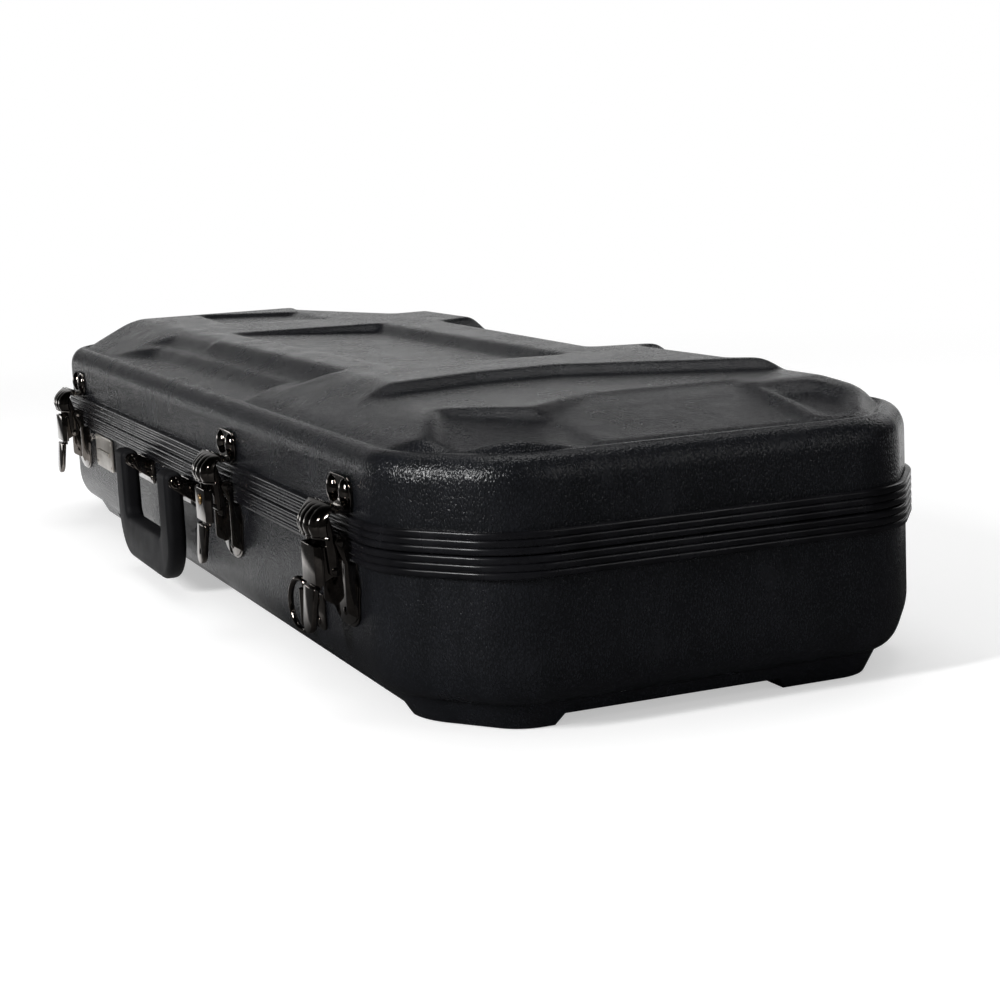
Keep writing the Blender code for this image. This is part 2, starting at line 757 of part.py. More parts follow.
def recess_tool(corner_shares, rise_shares, offset):
    """A block with a flat or sloping floor and flared walls, all moved out by an offset."""
    plan = [(x * HALF_LENGTH, y * HALF_WIDTH) for x, y in corner_shares]
    low, top = PARTING_HEIGHT + LEDGE_RISE, PARTING_HEIGHT + LID_RISE
    first, second, third = [
        Vector((x, y, mix(low, top, share))) for (x, y), share in zip(plan, rise_shares)
    ]
    up = (second - first).cross(third - first).normalized()
    floor = []
    for x, y in plan:
        fall = (up.x * (x - first.x) + up.y * (y - first.y)) / up.z
        floor.append(Vector((x, y, first.z - fall)))

    bottom = min(point.z for point in floor) - offset - OVERRUN
    reach = (top - bottom) * RECESS_FLARE + offset + OVERRUN
    block = offset_polygon(plan, reach)
    bm = bmesh.new()
    loft(bm, [[(x, y, bottom) for x, y in block], [(x, y, top + OVERRUN) for x, y in block]])
    cut_away(bm, first - up * offset, -up)
    for start, end in zip(floor, floor[1:] + floor[:1]):
        across = side_normal(start, end)
        climb = Vector((across[0] * RECESS_FLARE, across[1] * RECESS_FLARE, 1))
        outward = (end - start).cross(climb).normalized()
        cut_away(bm, start + outward * offset, outward)
    return bm


def make_lid_shell(surfaces, root):
    """The upper shell: a sculpted form with a hollow of the same form, one wall inside it."""
    bm = bmesh.new()
    loft(bm, plan_rings(lid_outline()))
    shell = finish("lid_shell", bm, surfaces["shell"], HINGE_AXIS, root)

    inside = [(SHELL_INSIDE, -OVERRUN)] + offset_line(lid_outline(), WALL)[1:]
    bm = bmesh.new()
    loft(bm, plan_rings(inside))
    combine(shell, "DIFFERENCE", "hollow", bm, root)
    hollow = shell.modifiers["hollow"]
    for name, (corners, rises) in RECESS_SHARES.items():
        combine(hollow.object, "DIFFERENCE", name, recess_tool(corners, rises, WALL), root)
        combine(shell, "DIFFERENCE", name, recess_tool(corners, rises, 0), root)

    shell.modifiers.move(0, len(shell.modifiers) - 1)
    joined = shell.modifiers.new("joined_points", "WELD")
    joined.merge_threshold = JOINED_DISTANCE


# Rear hinges


def hinge_strip(sign):
    """A leaf's joggled section as (reach, rise): over the valance, then on the shell's wall."""
    inner = [
        (GAP, HINGE_LEAF_START),
        (GAP, PLATE_RISE),
        (PLATE_REACH, PLATE_RISE + HINGE_JOGGLE),
        (PLATE_REACH, HINGE_LEAF_DROP),
    ]
    outer = offset_line(inner, HINGE_LEAF)
    return [(reach, sign * rise) for reach, rise in inner + outer[::-1]]


def knuckle_outline(sign):
    """A rolled knuckle with the web down to its leaf, as (reach, rise)."""
    root_reach = GAP + HINGE_LEAF / 2
    start, turn = KNUCKLE_ROLL_START, KNUCKLE_ROLL_TURN
    roll = arc((HINGE_OFFSET, 0), KNUCKLE_RADIUS, start, turn, KNUCKLE_ROLL_STEPS)
    outline = [(root_reach, -KNUCKLE_WEB_DROP)] + roll
    return [(reach, -sign * rise) for reach, rise in outline]


def rear_slice(bm, outline, left, right):
    """Extrudes an outline of (reach, rise) along the rear from left to right."""
    prism(bm, [rear(left, reach, rise) for reach, rise in outline], (right - left, 0, 0))


def make_hinges(surfaces, root):
    """Three butt hinges: two leaves that share a barrel of three knuckles, and a pin."""
    barrel = HINGE_WIDTH / KNUCKLE_COUNT
    for index, x in enumerate(HINGE_PLACES, 1):
        left, right = x - HINGE_WIDTH / 2, x + HINGE_WIDTH / 2
        inner_left, inner_right = left + barrel, right - barrel
        base_knuckles = [(left, inner_left - KNUCKLE_GAP / 2), (inner_right + KNUCKLE_GAP / 2, right)]
        lid_knuckles = [(inner_left + KNUCKLE_GAP / 2, inner_right - KNUCKLE_GAP / 2)]
        leaves = (
            (f"hinge_base_leaf_{index}", -1, base_knuckles, (0, 0, 0)),
            (f"hinge_lid_leaf_{index}", 1, lid_knuckles, HINGE_AXIS),
        )
        for name, sign, knuckles, origin in leaves:
            bm = bmesh.new()
            rear_slice(bm, hinge_strip(sign), left, right)
            leaf = finish(name, bm, surfaces["hardware"], origin, root)
            bm = bmesh.new()
            for start, end in knuckles:
                rear_slice(bm, knuckle_outline(sign), start, end)
            combine(leaf, "UNION", "knuckles", bm, root)
            bm = bmesh.new()
            start, end = rear(left - OVERRUN, HINGE_OFFSET, 0), rear(right + OVERRUN, HINGE_OFFSET, 0)
            bar(bm, start, end, HINGE_PIN_RADIUS + GAP, PIN_SIDES)
            combine(leaf, "DIFFERENCE", "bore", bm, root)
        bm = bmesh.new()
        reach = HINGE_WIDTH + 2 * GAP
        profile = headed_pin(reach, HINGE_PIN_RADIUS, HINGE_PIN_HEAD_RADIUS, HINGE_PIN_HEAD)
        turned(bm, rear(left - GAP, HINGE_OFFSET, 0), (1, 0, 0), profile, PIN_SIDES)
        finish(f"hinge_pin_{index}", bm, surfaces["hardware"], (0, 0, 0), root)


def headed_pin(grip, radius, head_radius, head):
    """The turned profile of a pin with a flat head at each end of its grip."""
    return [
        (head_radius, -head),
        (head_radius, 0),
        (radius, 0),
        (radius, grip),
        (head_radius, grip),
        (head_radius, grip + head),
    ]


# Draw latches


def make_latch_base(side, x, surfaces, root):
    """The wavy base plate with two side walls that rise into ears beside the valance."""
    height = TRAY_BOTTOM + PLATE_RISE
    right = [(x + TRAY_HALF_WIDTH * wide, height * down - PLATE_RISE) for down, wide in TRAY_SHARES]
    left = [(x - TRAY_HALF_WIDTH * wide, height * down - PLATE_RISE) for down, wide in TRAY_SHARES]
    bm = bmesh.new()
    front_prism(bm, right + left[::-1], PLATE_REACH, TRAY_PLATE)
    base = finish(f"latch_base_{side}", bm, surfaces["hardware"], (0, 0, 0), root)

    seat = PLATE_REACH + TRAY_PLATE / 2
    foot = TRAY_BOTTOM + TRAY_FOOT
    outline = [
        (seat, foot),
        (TRAY_DEPTH, foot + TRAY_FOOT),
        (TRAY_DEPTH, -PLATE_RISE),
        *arc((PIVOT_REACH, PIVOT_RISE), EAR_RADIUS, 0, pi, ROUND_SIDES // 2),
        (PIVOT_REACH - EAR_RADIUS, -PLATE_RISE),
        (seat, -PLATE_RISE - GAP),
    ]
    bm = bmesh.new()
    paired_slices(bm, outline, x, TRAY_WALL_OUTSIDE, EAR_PLATE)
    combine(base, "UNION", "walls", bm, root)
    bm = bmesh.new()
    pivot_bore(bm, x)
    combine(base, "DIFFERENCE", "pivot_bore", bm, root)


def cross_bar(bm, x, reach, rise, half_length, radius):
    """A round bar along X, centred on x, for a bore."""
    start, end = front(x - half_length, reach, rise), front(x + half_length, reach, rise)
    bar(bm, start, end, radius, PIN_SIDES)


def pivot_bore(bm, x):
    """The bore for the lever's pivot pin."""
    cross_bar(bm, x, PIVOT_REACH, PIVOT_RISE, TRAY_HALF_WIDTH + OVERRUN, PIN_HOLE_RADIUS)


def hook_bore(bm, x):
    """The bore for the hook's pin."""
    cross_bar(bm, x, HOOK_PIN_REACH, HOOK_PIN_RISE, TRAY_HALF_WIDTH + OVERRUN, PIN_HOLE_RADIUS)


def latch_origin(x):
    """The lever's pivot."""
    return front(x, PIVOT_REACH, PIVOT_RISE)


def hook_origin(x):
    """The hook's pivot on the lever."""
    return front(x, HOOK_PIN_REACH, HOOK_PIN_RISE)


def make_lever(side, x, surfaces, root):
    """The lever: a bevelled face, two flanges with lugs for the pins, and a finger tab."""
    edge = LEVER_FACE - LEVER_BEVEL_DEPTH
    section = [
        (-LEVER_HALF_WIDTH, edge),
        (-LEVER_FACE_HALF_WIDTH, LEVER_FACE),
        (LEVER_FACE_HALF_WIDTH, LEVER_FACE),
        (LEVER_HALF_WIDTH, edge),
    ]
    section += [(across, reach - LEVER_PLATE) for across, reach in reversed(section)]
    bm = bmesh.new()
    top = [front(x + across, reach, LEVER_TOP) for across, reach in section]
    prism(bm, top, (0, 0, LEVER_BOTTOM - LEVER_TOP))
    lever = finish(f"latch_lever_{side}", bm, surfaces["hardware"], latch_origin(x), root)

    outline = [
        (edge, LEVER_TOP - LEVER_PLATE),
        *arc((PIVOT_REACH, PIVOT_RISE), LEVER_LUG_RADIUS, LEVER_LUG_START, LEVER_LUG_TURN, ARC_STEPS),
        *arc((HOOK_PIN_REACH, HOOK_PIN_RISE), HOOK_LUG_RADIUS, pi, pi / 2, ARC_STEPS),
        (edge, LEVER_BOTTOM + LEVER_PLATE),
    ]
    bm = bmesh.new()
    paired_slices(bm, outline, x, FLANGE_OUTSIDE, LEVER_FLANGE)
    combine(lever, "UNION", "flanges", bm, root)

    bm = bmesh.new()
    finger_tab(bm, x)
    combine(lever, "UNION", "tab", bm, root)

    bm = bmesh.new()
    pivot_bore(bm, x)
    hook_bore(bm, x)
    if side == "centre":
        start = front(x, LEVER_FACE + OVERRUN, LOCK_RISE)
        bar(bm, start, front(x, edge - OVERRUN, LOCK_RISE), LOCK_RADIUS + GAP, ROUND_SIDES)
        hole_rise = TAB_BOTTOM + TAB_TIP_HALF_WIDTH
        start = front(x, LEVER_FACE + TAB_LEAN + OVERRUN, hole_rise)
        bar(bm, start, front(x, edge, hole_rise), TAB_HOLE_RADIUS, PIN_SIDES)
    combine(lever, "DIFFERENCE", "bores", bm, root)


def finger_tab(bm, x):
    """The tab under the lever's face, a step prouder, leaning out to a round tip."""
    top, tip = LEVER_BOTTOM + TAB_OVERLAP, TAB_BOTTOM + TAB_TIP_HALF_WIDTH
    outline = [(TAB_HALF_WIDTH, top), (-TAB_HALF_WIDTH, top)]
    outline += arc((0, tip), TAB_TIP_HALF_WIDTH, pi, pi, ROUND_SIDES // 2)
    rings = []
    for reach in (LEVER_FACE + TAB_STEP, LEVER_FACE + TAB_STEP - TAB_PLATE):
        rings.append([
            front(x + across, reach + TAB_LEAN * (top - rise) / (top - TAB_BOTTOM), rise)
            for across, rise in outline
        ])
    loft(bm, rings)


def dome_line(across, depth):
    """The dome's profile at a place across it, as (reach, rise), moved in by a depth."""
    share_across = across / DOME_HALF_WIDTH
    fall = DOME_SIDE_FALL * share_across ** 2
    flute = DOME_RIB_DEPTH * (1 - abs(cos(pi * DOME_RIBS * (share_across + 1) / 2)))
    crown = DOME_REACH - DOME_TIP_REACH - fall - flute
    line = [
        (DOME_TIP_REACH + crown * out, mix(DOME_BOTTOM, DOME_TIP_RISE, up))
        for out, up in DOME_SHARES
    ]
    return offset_line(line, -depth)


def make_hook(side, x, surfaces, root):
    """The hook: a ribbed dome over the valances and two cheeks down to its pin."""
    stations = DOME_RIBS * DOME_STATIONS_PER_RIB
    rings = []
    for station in range(stations + 1):
        across = mix(-DOME_HALF_WIDTH, DOME_HALF_WIDTH, station / stations)
        section = dome_line(across, 0) + dome_line(across, DOME_PLATE)[::-1]
        rings.append([front(x + across, reach, rise) for reach, rise in section])
    bm = bmesh.new()
    loft(bm, rings)
    hook = finish(f"latch_hook_{side}", bm, surfaces["hardware"], hook_origin(x), root)

    pin = (HOOK_PIN_REACH, HOOK_PIN_RISE)
    back = PIVOT_REACH + LATCH_PIN_RADIUS + 2 * GAP
    seat = dome_line(CHEEK_OUTSIDE - CHEEK_PLATE / 2, DOME_PLATE / 2)[:-1]
    outline = [
        *arc(pin, HOOK_LUG_RADIUS, pi, pi, ROUND_SIDES // 2),
        *seat,
        (back, PIVOT_RISE + HOOK_LUG_RADIUS),
        (back, PIVOT_RISE - HOOK_LUG_RADIUS),
    ]
    bm = bmesh.new()
    paired_slices(bm, outline, x, CHEEK_OUTSIDE, CHEEK_PLATE)
    combine(hook, "UNION", "cheeks", bm, root)
    bm = bmesh.new()
    hook_bore(bm, x)
    combine(hook, "DIFFERENCE", "pin_bore", bm, root)


def make_latch_pins(side, x, surfaces, root):
    """The pivot pin, headed outside the ears, and the plain pin that carries the hook."""
    grip = 2 * (TRAY_WALL_OUTSIDE + GAP)
    profile = headed_pin(grip, LATCH_PIN_RADIUS, LATCH_PIN_HEAD_RADIUS, LATCH_PIN_HEAD)
    bm = bmesh.new()
    turned(bm, front(x - grip / 2, PIVOT_REACH, PIVOT_RISE), (1, 0, 0), profile, PIN_SIDES)
    finish(f"latch_pivot_pin_{side}", bm, surfaces["hardware"], (0, 0, 0), root)

    bm = bmesh.new()
    cross_bar(bm, x, HOOK_PIN_REACH, HOOK_PIN_RISE, CHEEK_OUTSIDE, LATCH_PIN_RADIUS)
    finish(f"latch_hook_pin_{side}", bm, surfaces["hardware"], latch_origin(x), root)


def make_keeper(side, x, surfaces, root):
    """The keeper on the lid: a plate with two domed lobes and an upturned lip."""
    left, right = x - KEEPER_HALF_WIDTH, x + KEEPER_HALF_WIDTH
    outline = rounded_rectangle(left, right, KEEPER_BOTTOM, KEEPER_TOP, KEEPER_CORNER, ARC_STEPS)
    bm = bmesh.new()
    front_prism(bm, outline, PLATE_REACH, KEEPER_PLATE)
    keeper = finish(f"latch_keeper_{side}", bm, surfaces["hardware"], HINGE_AXIS, root)

    seat = PLATE_REACH + KEEPER_PLATE / 2
    shelf = KEEPER_LIP_BOTTOM + KEEPER_LIP_PLATE
    rim = KEEPER_LIP_BOTTOM + KEEPER_LIP_HEIGHT
    outline = [
        (seat, KEEPER_LIP_BOTTOM),
        (KEEPER_LIP_REACH, KEEPER_LIP_BOTTOM),
        (KEEPER_LIP_REACH, rim),
        (KEEPER_LIP_REACH - KEEPER_LIP_PLATE, rim),
        (KEEPER_LIP_REACH - KEEPER_LIP_PLATE, shelf),
        (seat, shelf),
    ]
    bm = bmesh.new()
    front_slice(bm, outline, x - KEEPER_LIP_HALF_WIDTH, x + KEEPER_LIP_HALF_WIDTH)
    combine(keeper, "UNION", "lip", bm, root)

    rise = LOBE_REACH - seat
    profile = [
        (LOBE_RADIUS * cos(turn), rise * sin(turn))
        for turn in [LOBE_TURN * step / LOBE_STEPS for step in range(LOBE_STEPS + 1)]
    ]
    for name, place in (("left_lobe", -LOBE_SPREAD), ("right_lobe", LOBE_SPREAD)):
        bm = bmesh.new()
        turned(bm, front(x + place, seat, LOBE_RISE), (0, -1, 0), profile, LOBE_SIDES)
        combine(keeper, "UNION", name, bm, root)


def make_lock(surfaces, root):
    """The brass cylinder with its keyway in the centre latch's lever."""
    face = LEVER_FACE + LOCK_PROUD
    place = LATCH_PLACES["centre"]
    centre = front(place, face, LOCK_RISE)
    bm = bmesh.new()
    bar(bm, centre, centre + Vector((0, LOCK_LENGTH, 0)), LOCK_RADIUS, ROUND_SIDES)
    lock = finish("lock_cylinder", bm, surfaces["brass"], centre, root)
    bm = bmesh.new()
    left, right = place - KEYWAY_WIDTH / 2, place + KEYWAY_WIDTH / 2
    low, high = LOCK_RISE - KEYWAY_HEIGHT / 2, LOCK_RISE + KEYWAY_HEIGHT / 2
    outline = [(left, low), (right, low), (right, high), (left, high)]
    front_prism(bm, outline, face - KEYWAY_DEPTH, KEYWAY_DEPTH + OVERRUN)
    combine(lock, "DIFFERENCE", "keyway", bm, root)


# Handle


def handle_arms():
    """The middle of each of the handle's arms."""
    spread = HANDLE_HALF_WIDTH - HANDLE_ARM_WIDTH / 2
    return {"left": HANDLE_PLACE - spread, "right": HANDLE_PLACE + spread}


def make_handle(surfaces, root):
    """The drop handle: a thick U with a deep grip, bored for its two pins."""
    left, right = HANDLE_PLACE - HANDLE_HALF_WIDTH, HANDLE_PLACE + HANDLE_HALF_WIDTH
    inner_left, inner_right = left + HANDLE_ARM_WIDTH, right - HANDLE_ARM_WIDTH
    grip_top = HANDLE_BOTTOM + HANDLE_GRIP_HEIGHT
    corners = [
        ((left, HANDLE_BOTTOM), HANDLE_OUTER_RADIUS),
        ((right, HANDLE_BOTTOM), HANDLE_OUTER_RADIUS),
        ((right, HANDLE_TOP), HANDLE_TOP_RADIUS),
        ((inner_right, HANDLE_TOP), HANDLE_TOP_RADIUS),
        ((inner_right, grip_top), HANDLE_INNER_RADIUS),
        ((inner_left, grip_top), HANDLE_INNER_RADIUS),
        ((inner_left, HANDLE_TOP), HANDLE_TOP_RADIUS),
        ((left, HANDLE_TOP), HANDLE_TOP_RADIUS),
    ]
    points = [point for point, _ in corners]
    outline = round_polygon(points, [radius for _, radius in corners], ARC_STEPS)
    bm = bmesh.new()
    front_prism(bm, outline, HANDLE_BACK, HANDLE_FACE - HANDLE_BACK)
    origin = front(HANDLE_PLACE, HANDLE_PIN_REACH, HANDLE_PIN_RISE)
    handle = finish("handle", bm, surfaces["handle"], origin, root)
    rounding = handle.modifiers.new("rounded_edges", "BEVEL")
    rounding.width = HANDLE_EDGE
    rounding.segments = 2
    rounding.limit_method = "ANGLE"
    rounding.angle_limit = HANDLE_EDGE_ANGLE
    bm = bmesh.new()
    reach = HANDLE_HALF_WIDTH + OVERRUN
    start = front(HANDLE_PLACE - reach, HANDLE_PIN_REACH, HANDLE_PIN_RISE)
    end = front(HANDLE_PLACE + reach, HANDLE_PIN_REACH, HANDLE_PIN_RISE)
    bar(bm, start, end, HANDLE_PIN_RADIUS + GAP, PIN_SIDES)
    combine(handle, "DIFFERENCE", "pin_bore", bm, root)


def make_handle_brackets(surfaces, root):
    """A forked bracket for each arm: a plate on the wall with an ear on both sides of the arm."""
    inside = HANDLE_ARM_WIDTH / 2 + BRACKET_SIDE_PLAY
    outside = inside + BRACKET_EAR
    half = outside + BRACKET_TAIL
    seat = PLATE_REACH + BRACKET_PLATE / 2
    outline = [
        (seat, BRACKET_BOTTOM + BRACKET_CORNER),
        *arc((HANDLE_PIN_REACH, HANDLE_PIN_RISE), BRACKET_EAR_RADIUS, -pi / 4, pi, ROUND_SIDES // 2),
        (GAP + BRACKET_PLATE, BRACKET_TOP),
        (seat, BRACKET_TOP - GAP),
    ]
    for side, x in handle_arms().items():
        plate = rounded_rectangle(
            x - half, x + half, BRACKET_BOTTOM, BRACKET_TOP, BRACKET_CORNER, ARC_STEPS
        )
        bm = bmesh.new()
        front_prism(bm, plate, PLATE_REACH, BRACKET_PLATE)
        bracket = finish(f"handle_bracket_{side}", bm, surfaces["hardware"], (0, 0, 0), root)
        bm = bmesh.new()
        paired_slices(bm, outline, x, outside, BRACKET_EAR)
        combine(bracket, "UNION", "ears", bm, root)
        bm = bmesh.new()
        radius = HANDLE_PIN_RADIUS + GAP
        cross_bar(bm, x, HANDLE_PIN_REACH, HANDLE_PIN_RISE, outside + OVERRUN, radius)
        combine(bracket, "DIFFERENCE", "pin_bore", bm, root)

    grip = 2 * (outside + GAP)
    profile = headed_pin(grip, HANDLE_PIN_RADIUS, HANDLE_PIN_HEAD_RADIUS, HANDLE_PIN_HEAD)
    hollow = grip + HANDLE_PIN_HEAD
    profile += [(HANDLE_PIN_HOLLOW, hollow), (HANDLE_PIN_HOLLOW, hollow - HANDLE_PIN_RADIUS)]
    for side, x in handle_arms().items():
        start = front(x - grip / 2, HANDLE_PIN_REACH, HANDLE_PIN_RISE)
        bm = bmesh.new()
        turned(bm, start, (1, 0, 0), profile, PIN_SIDES)
        finish(f"handle_pin_{side}", bm, surfaces["hardware"], (0, 0, 0), root)


# Strap ring and nameplate


def make_strap_ring(surfaces, root):
    """A D-shaped wire ring hanging in a rolled bracket beside the right latch."""
    low, high = RING_RISE - RING_TUBE_LENGTH / 2, RING_RISE + RING_TUBE_LENGTH / 2
    outline = [(RING_PLACE, low), (RING_PLACE + RING_PLATE_LENGTH, low)]
    outline += [(RING_PLACE + RING_PLATE_LENGTH, high), (RING_PLACE, high)]
    bm = bmesh.new()
    front_prism(bm, outline, PLATE_REACH, RING_PLATE)
    bracket = finish("strap_ring_bracket", bm, surfaces["hardware"], (0, 0, 0), root)
    bm = bmesh.new()
    start = front(RING_PLACE, RING_TUBE_REACH, low - GAP)
    end = front(RING_PLACE, RING_TUBE_REACH, high + GAP)
    bar(bm, start, end, RING_TUBE_RADIUS, ROUND_SIDES)
    combine(bracket, "UNION", "tube", bm, root)
    bm = bmesh.new()
    start.z -= OVERRUN
    end.z += OVERRUN
    bar(bm, start, end, RING_WIRE_RADIUS + GAP, ROUND_SIDES)
    combine(bracket, "DIFFERENCE", "bore", bm, root)

    centre = front(RING_PLACE, RING_TUBE_REACH, RING_RISE)
    outward = Vector((-cos(RING_TILT), -sin(RING_TILT), 0))
    corners = [(0, -RING_HALF_HEIGHT), (RING_DEPTH, -RING_HALF_HEIGHT)]
    corners += [(RING_DEPTH, RING_HALF_HEIGHT), (0, RING_HALF_HEIGHT)]
    nose = RING_HALF_HEIGHT - GAP
    path = round_polygon(corners, [RING_CORNER, nose, nose, RING_CORNER], ARC_STEPS)
    bm = bmesh.new()
    sweep_ring(bm, [centre + outward * out + Vector((0, 0, up)) for out, up in path], outward)
    finish("strap_ring", bm, surfaces["hardware"], centre, root)


def sweep_ring(bm, path, outward):
    """Sweeps the ring's round wire along a closed path in an upright plane."""
    across = outward.cross(Vector((0, 0, 1)))
    rings = []
    for index, point in enumerate(path):
        along = (path[(index + 1) % len(path)] - path[index - 1]).normalized()
        side = along.cross(across)
        turns = [2 * pi * step / RING_WIRE_SIDES for step in range(RING_WIRE_SIDES)]
        rings.append([
            point + RING_WIRE_RADIUS * (cos(turn) * side + sin(turn) * across) for turn in turns
        ])
    closed_loft(bm, rings)


def make_nameplate(surfaces, root):
    """A bare plate with a raised bar."""
    left, right = NAMEPLATE_PLACE - NAMEPLATE_WIDTH / 2, NAMEPLATE_PLACE + NAMEPLATE_WIDTH / 2
    bottom = NAMEPLATE_TOP - NAMEPLATE_HEIGHT
    outline = rounded_rectangle(left, right, bottom, NAMEPLATE_TOP, NAMEPLATE_CORNER, ARC_STEPS)
    bm = bmesh.new()
    front_prism(bm, outline, PLATE_REACH, NAMEPLATE_THICKNESS)
    plate = finish("nameplate", bm, surfaces["plate"], (0, 0, 0), root)
    middle, half = (NAMEPLATE_TOP + bottom) / 2, NAMEPLATE_BEAD_HEIGHT / 2
    bead = NAMEPLATE_BEAD_LENGTH / 2
    left, right = NAMEPLATE_PLACE - bead, NAMEPLATE_PLACE + bead
    outline = rounded_rectangle(left, right, middle - half, middle + half, half - GAP, ARC_STEPS)
    seat = PLATE_REACH + NAMEPLATE_THICKNESS / 2
    bm = bmesh.new()
    front_prism(bm, outline, seat, NAMEPLATE_THICKNESS / 2 + NAMEPLATE_BEAD_DEPTH)
    combine(plate, "UNION", "bead", bm, root)


# Lining and its fittings


def well(bm, outline, depth):
    """A pocket's space, from above the insert down by a depth."""
    top = PARTING_HEIGHT + INSERT_TOP
    prism(bm, [(x, y, top - depth) for x, y in outline], (0, 0, depth + OVERRUN))


def violin_outline():
    """The well's outline for the instrument's body, anticlockwise."""
    end = HALF_LENGTH - WELL_END_MARGIN
    rear_side = [(end - WELL_LENGTH * along, WELL_HALF_WIDTH * wide) for along, wide in VIOLIN_SHARES]
    return rear_side + [(x, -y) for x, y in reversed(rear_side)]


def make_insert(surfaces, root):
    """The padded insert: a violin's well with neck and scroll, and three open compartments."""
    inside = base_inside(WALL + GAP)
    bm = bmesh.new()
    loft(bm, plan_rings([(inside[0][0], INSERT_TOP)] + inside[1:]))
    insert = finish("base_insert", bm, surfaces["plush"], (0, 0, 0), root)

    neck_start, neck_end = WELL_FAR_END + NECK_HALF_WIDTH, WELL_FAR_END - NECK_LENGTH
    scroll_end = neck_end - SCROLL_LENGTH
    far = ACCESSORY_END_MARGIN - HALF_LENGTH
    side_end = WELL_FAR_END - SIDE_BOX_WELL_DISTANCE
    side_box = (side_end - SIDE_BOX_LENGTH, side_end)
    boxes = {
        "neck_well": (neck_end - NECK_HALF_WIDTH, neck_start, -NECK_HALF_WIDTH, NECK_HALF_WIDTH),
        "scroll_well": (scroll_end, neck_end, -SCROLL_HALF_WIDTH, SCROLL_HALF_WIDTH),
        "far_box": (far, far + ACCESSORY_LENGTH, -ACCESSORY_HALF_WIDTH, ACCESSORY_HALF_WIDTH),
        "front_box": (*side_box, -SIDE_BOX_OUTER, -SIDE_BOX_INNER),
        "rear_box": (*side_box, SIDE_BOX_INNER, SIDE_BOX_OUTER),
    }
    depths = {
        "neck_well": NECK_WELL_DEPTH,
        "scroll_well": WELL_DEPTH,
        "far_box": ACCESSORY_DEPTH,
        "front_box": SIDE_BOX_DEPTH,
        "rear_box": SIDE_BOX_DEPTH,
    }
    bm = bmesh.new()
    well(bm, violin_outline(), WELL_DEPTH)
    combine(insert, "DIFFERENCE", "body_well", bm, root)
    for name, box in boxes.items():
        bm = bmesh.new()
        well(bm, rounded_rectangle(*box, POCKET_CORNER, ARC_STEPS), depths[name])
        combine(insert, "DIFFERENCE", name, bm, root)


def ribbon(bm, x, y, rise, shape, sign):
    """A ribbon across X with two flat feet and an arch that stands or hangs between them."""
    width, thickness, arch, foot, span, steps = shape
    line = [(-span / 2 - foot, 0)]
    for step in range(steps + 1):
        share = step / steps
        line.append((mix(-span / 2, span / 2, share), arch * sin(pi * share)))
    line.append((span / 2 + foot, 0))
    outline = line + offset_line(line, -thickness)[::-1]
    base = PARTING_HEIGHT + rise
    prism(bm, [(x - width / 2, y + across, base + sign * up) for across, up in outline], (width, 0, 0))


def make_ribbons(surfaces, root):
    """The strap over the instrument's neck and the loops that hold the bows' tips."""
    shape = (
        NECK_STRAP_WIDTH, NECK_STRAP_THICKNESS, NECK_STRAP_RISE,
        NECK_STRAP_FOOT, NECK_STRAP_SPAN, NECK_STRAP_STEPS,
    )
    x = WELL_FAR_END - NECK_LENGTH / 2
    bm = bmesh.new()
    ribbon(bm, x, 0, INSERT_TOP + GAP, shape, 1)
    finish("neck_strap", bm, surfaces["ribbon"], (0, 0, 0), root)
    shape = (LOOP_WIDTH, LOOP_THICKNESS, LOOP_DROP, LOOP_FOOT, LOOP_SPAN, LOOP_STEPS)
    for index, y in enumerate((-BOW_SPREAD, BOW_SPREAD), 1):
        bm = bmesh.new()
        ribbon(bm, BOW_LOOP_PLACE, y, LINING_BOTTOM - GAP, shape, -1)
        finish(f"bow_tip_loop_{index}", bm, surfaces["ribbon"], HINGE_AXIS, root)


def make_lining(surfaces, root):
    """The lid's padded lining, tucked under the shoulder."""
    inset = SHELL_INSIDE + GAP
    profile = [
        (inset, LINING_BOTTOM),
        (inset, LID_WALL_HEIGHT),
        (inset + SHOULDER_WIDTH, LINING_TOP),
    ]
    bm = bmesh.new()
    loft(bm, plan_rings(profile))
    finish("lid_lining", bm, surfaces["plush"], HINGE_AXIS, root)


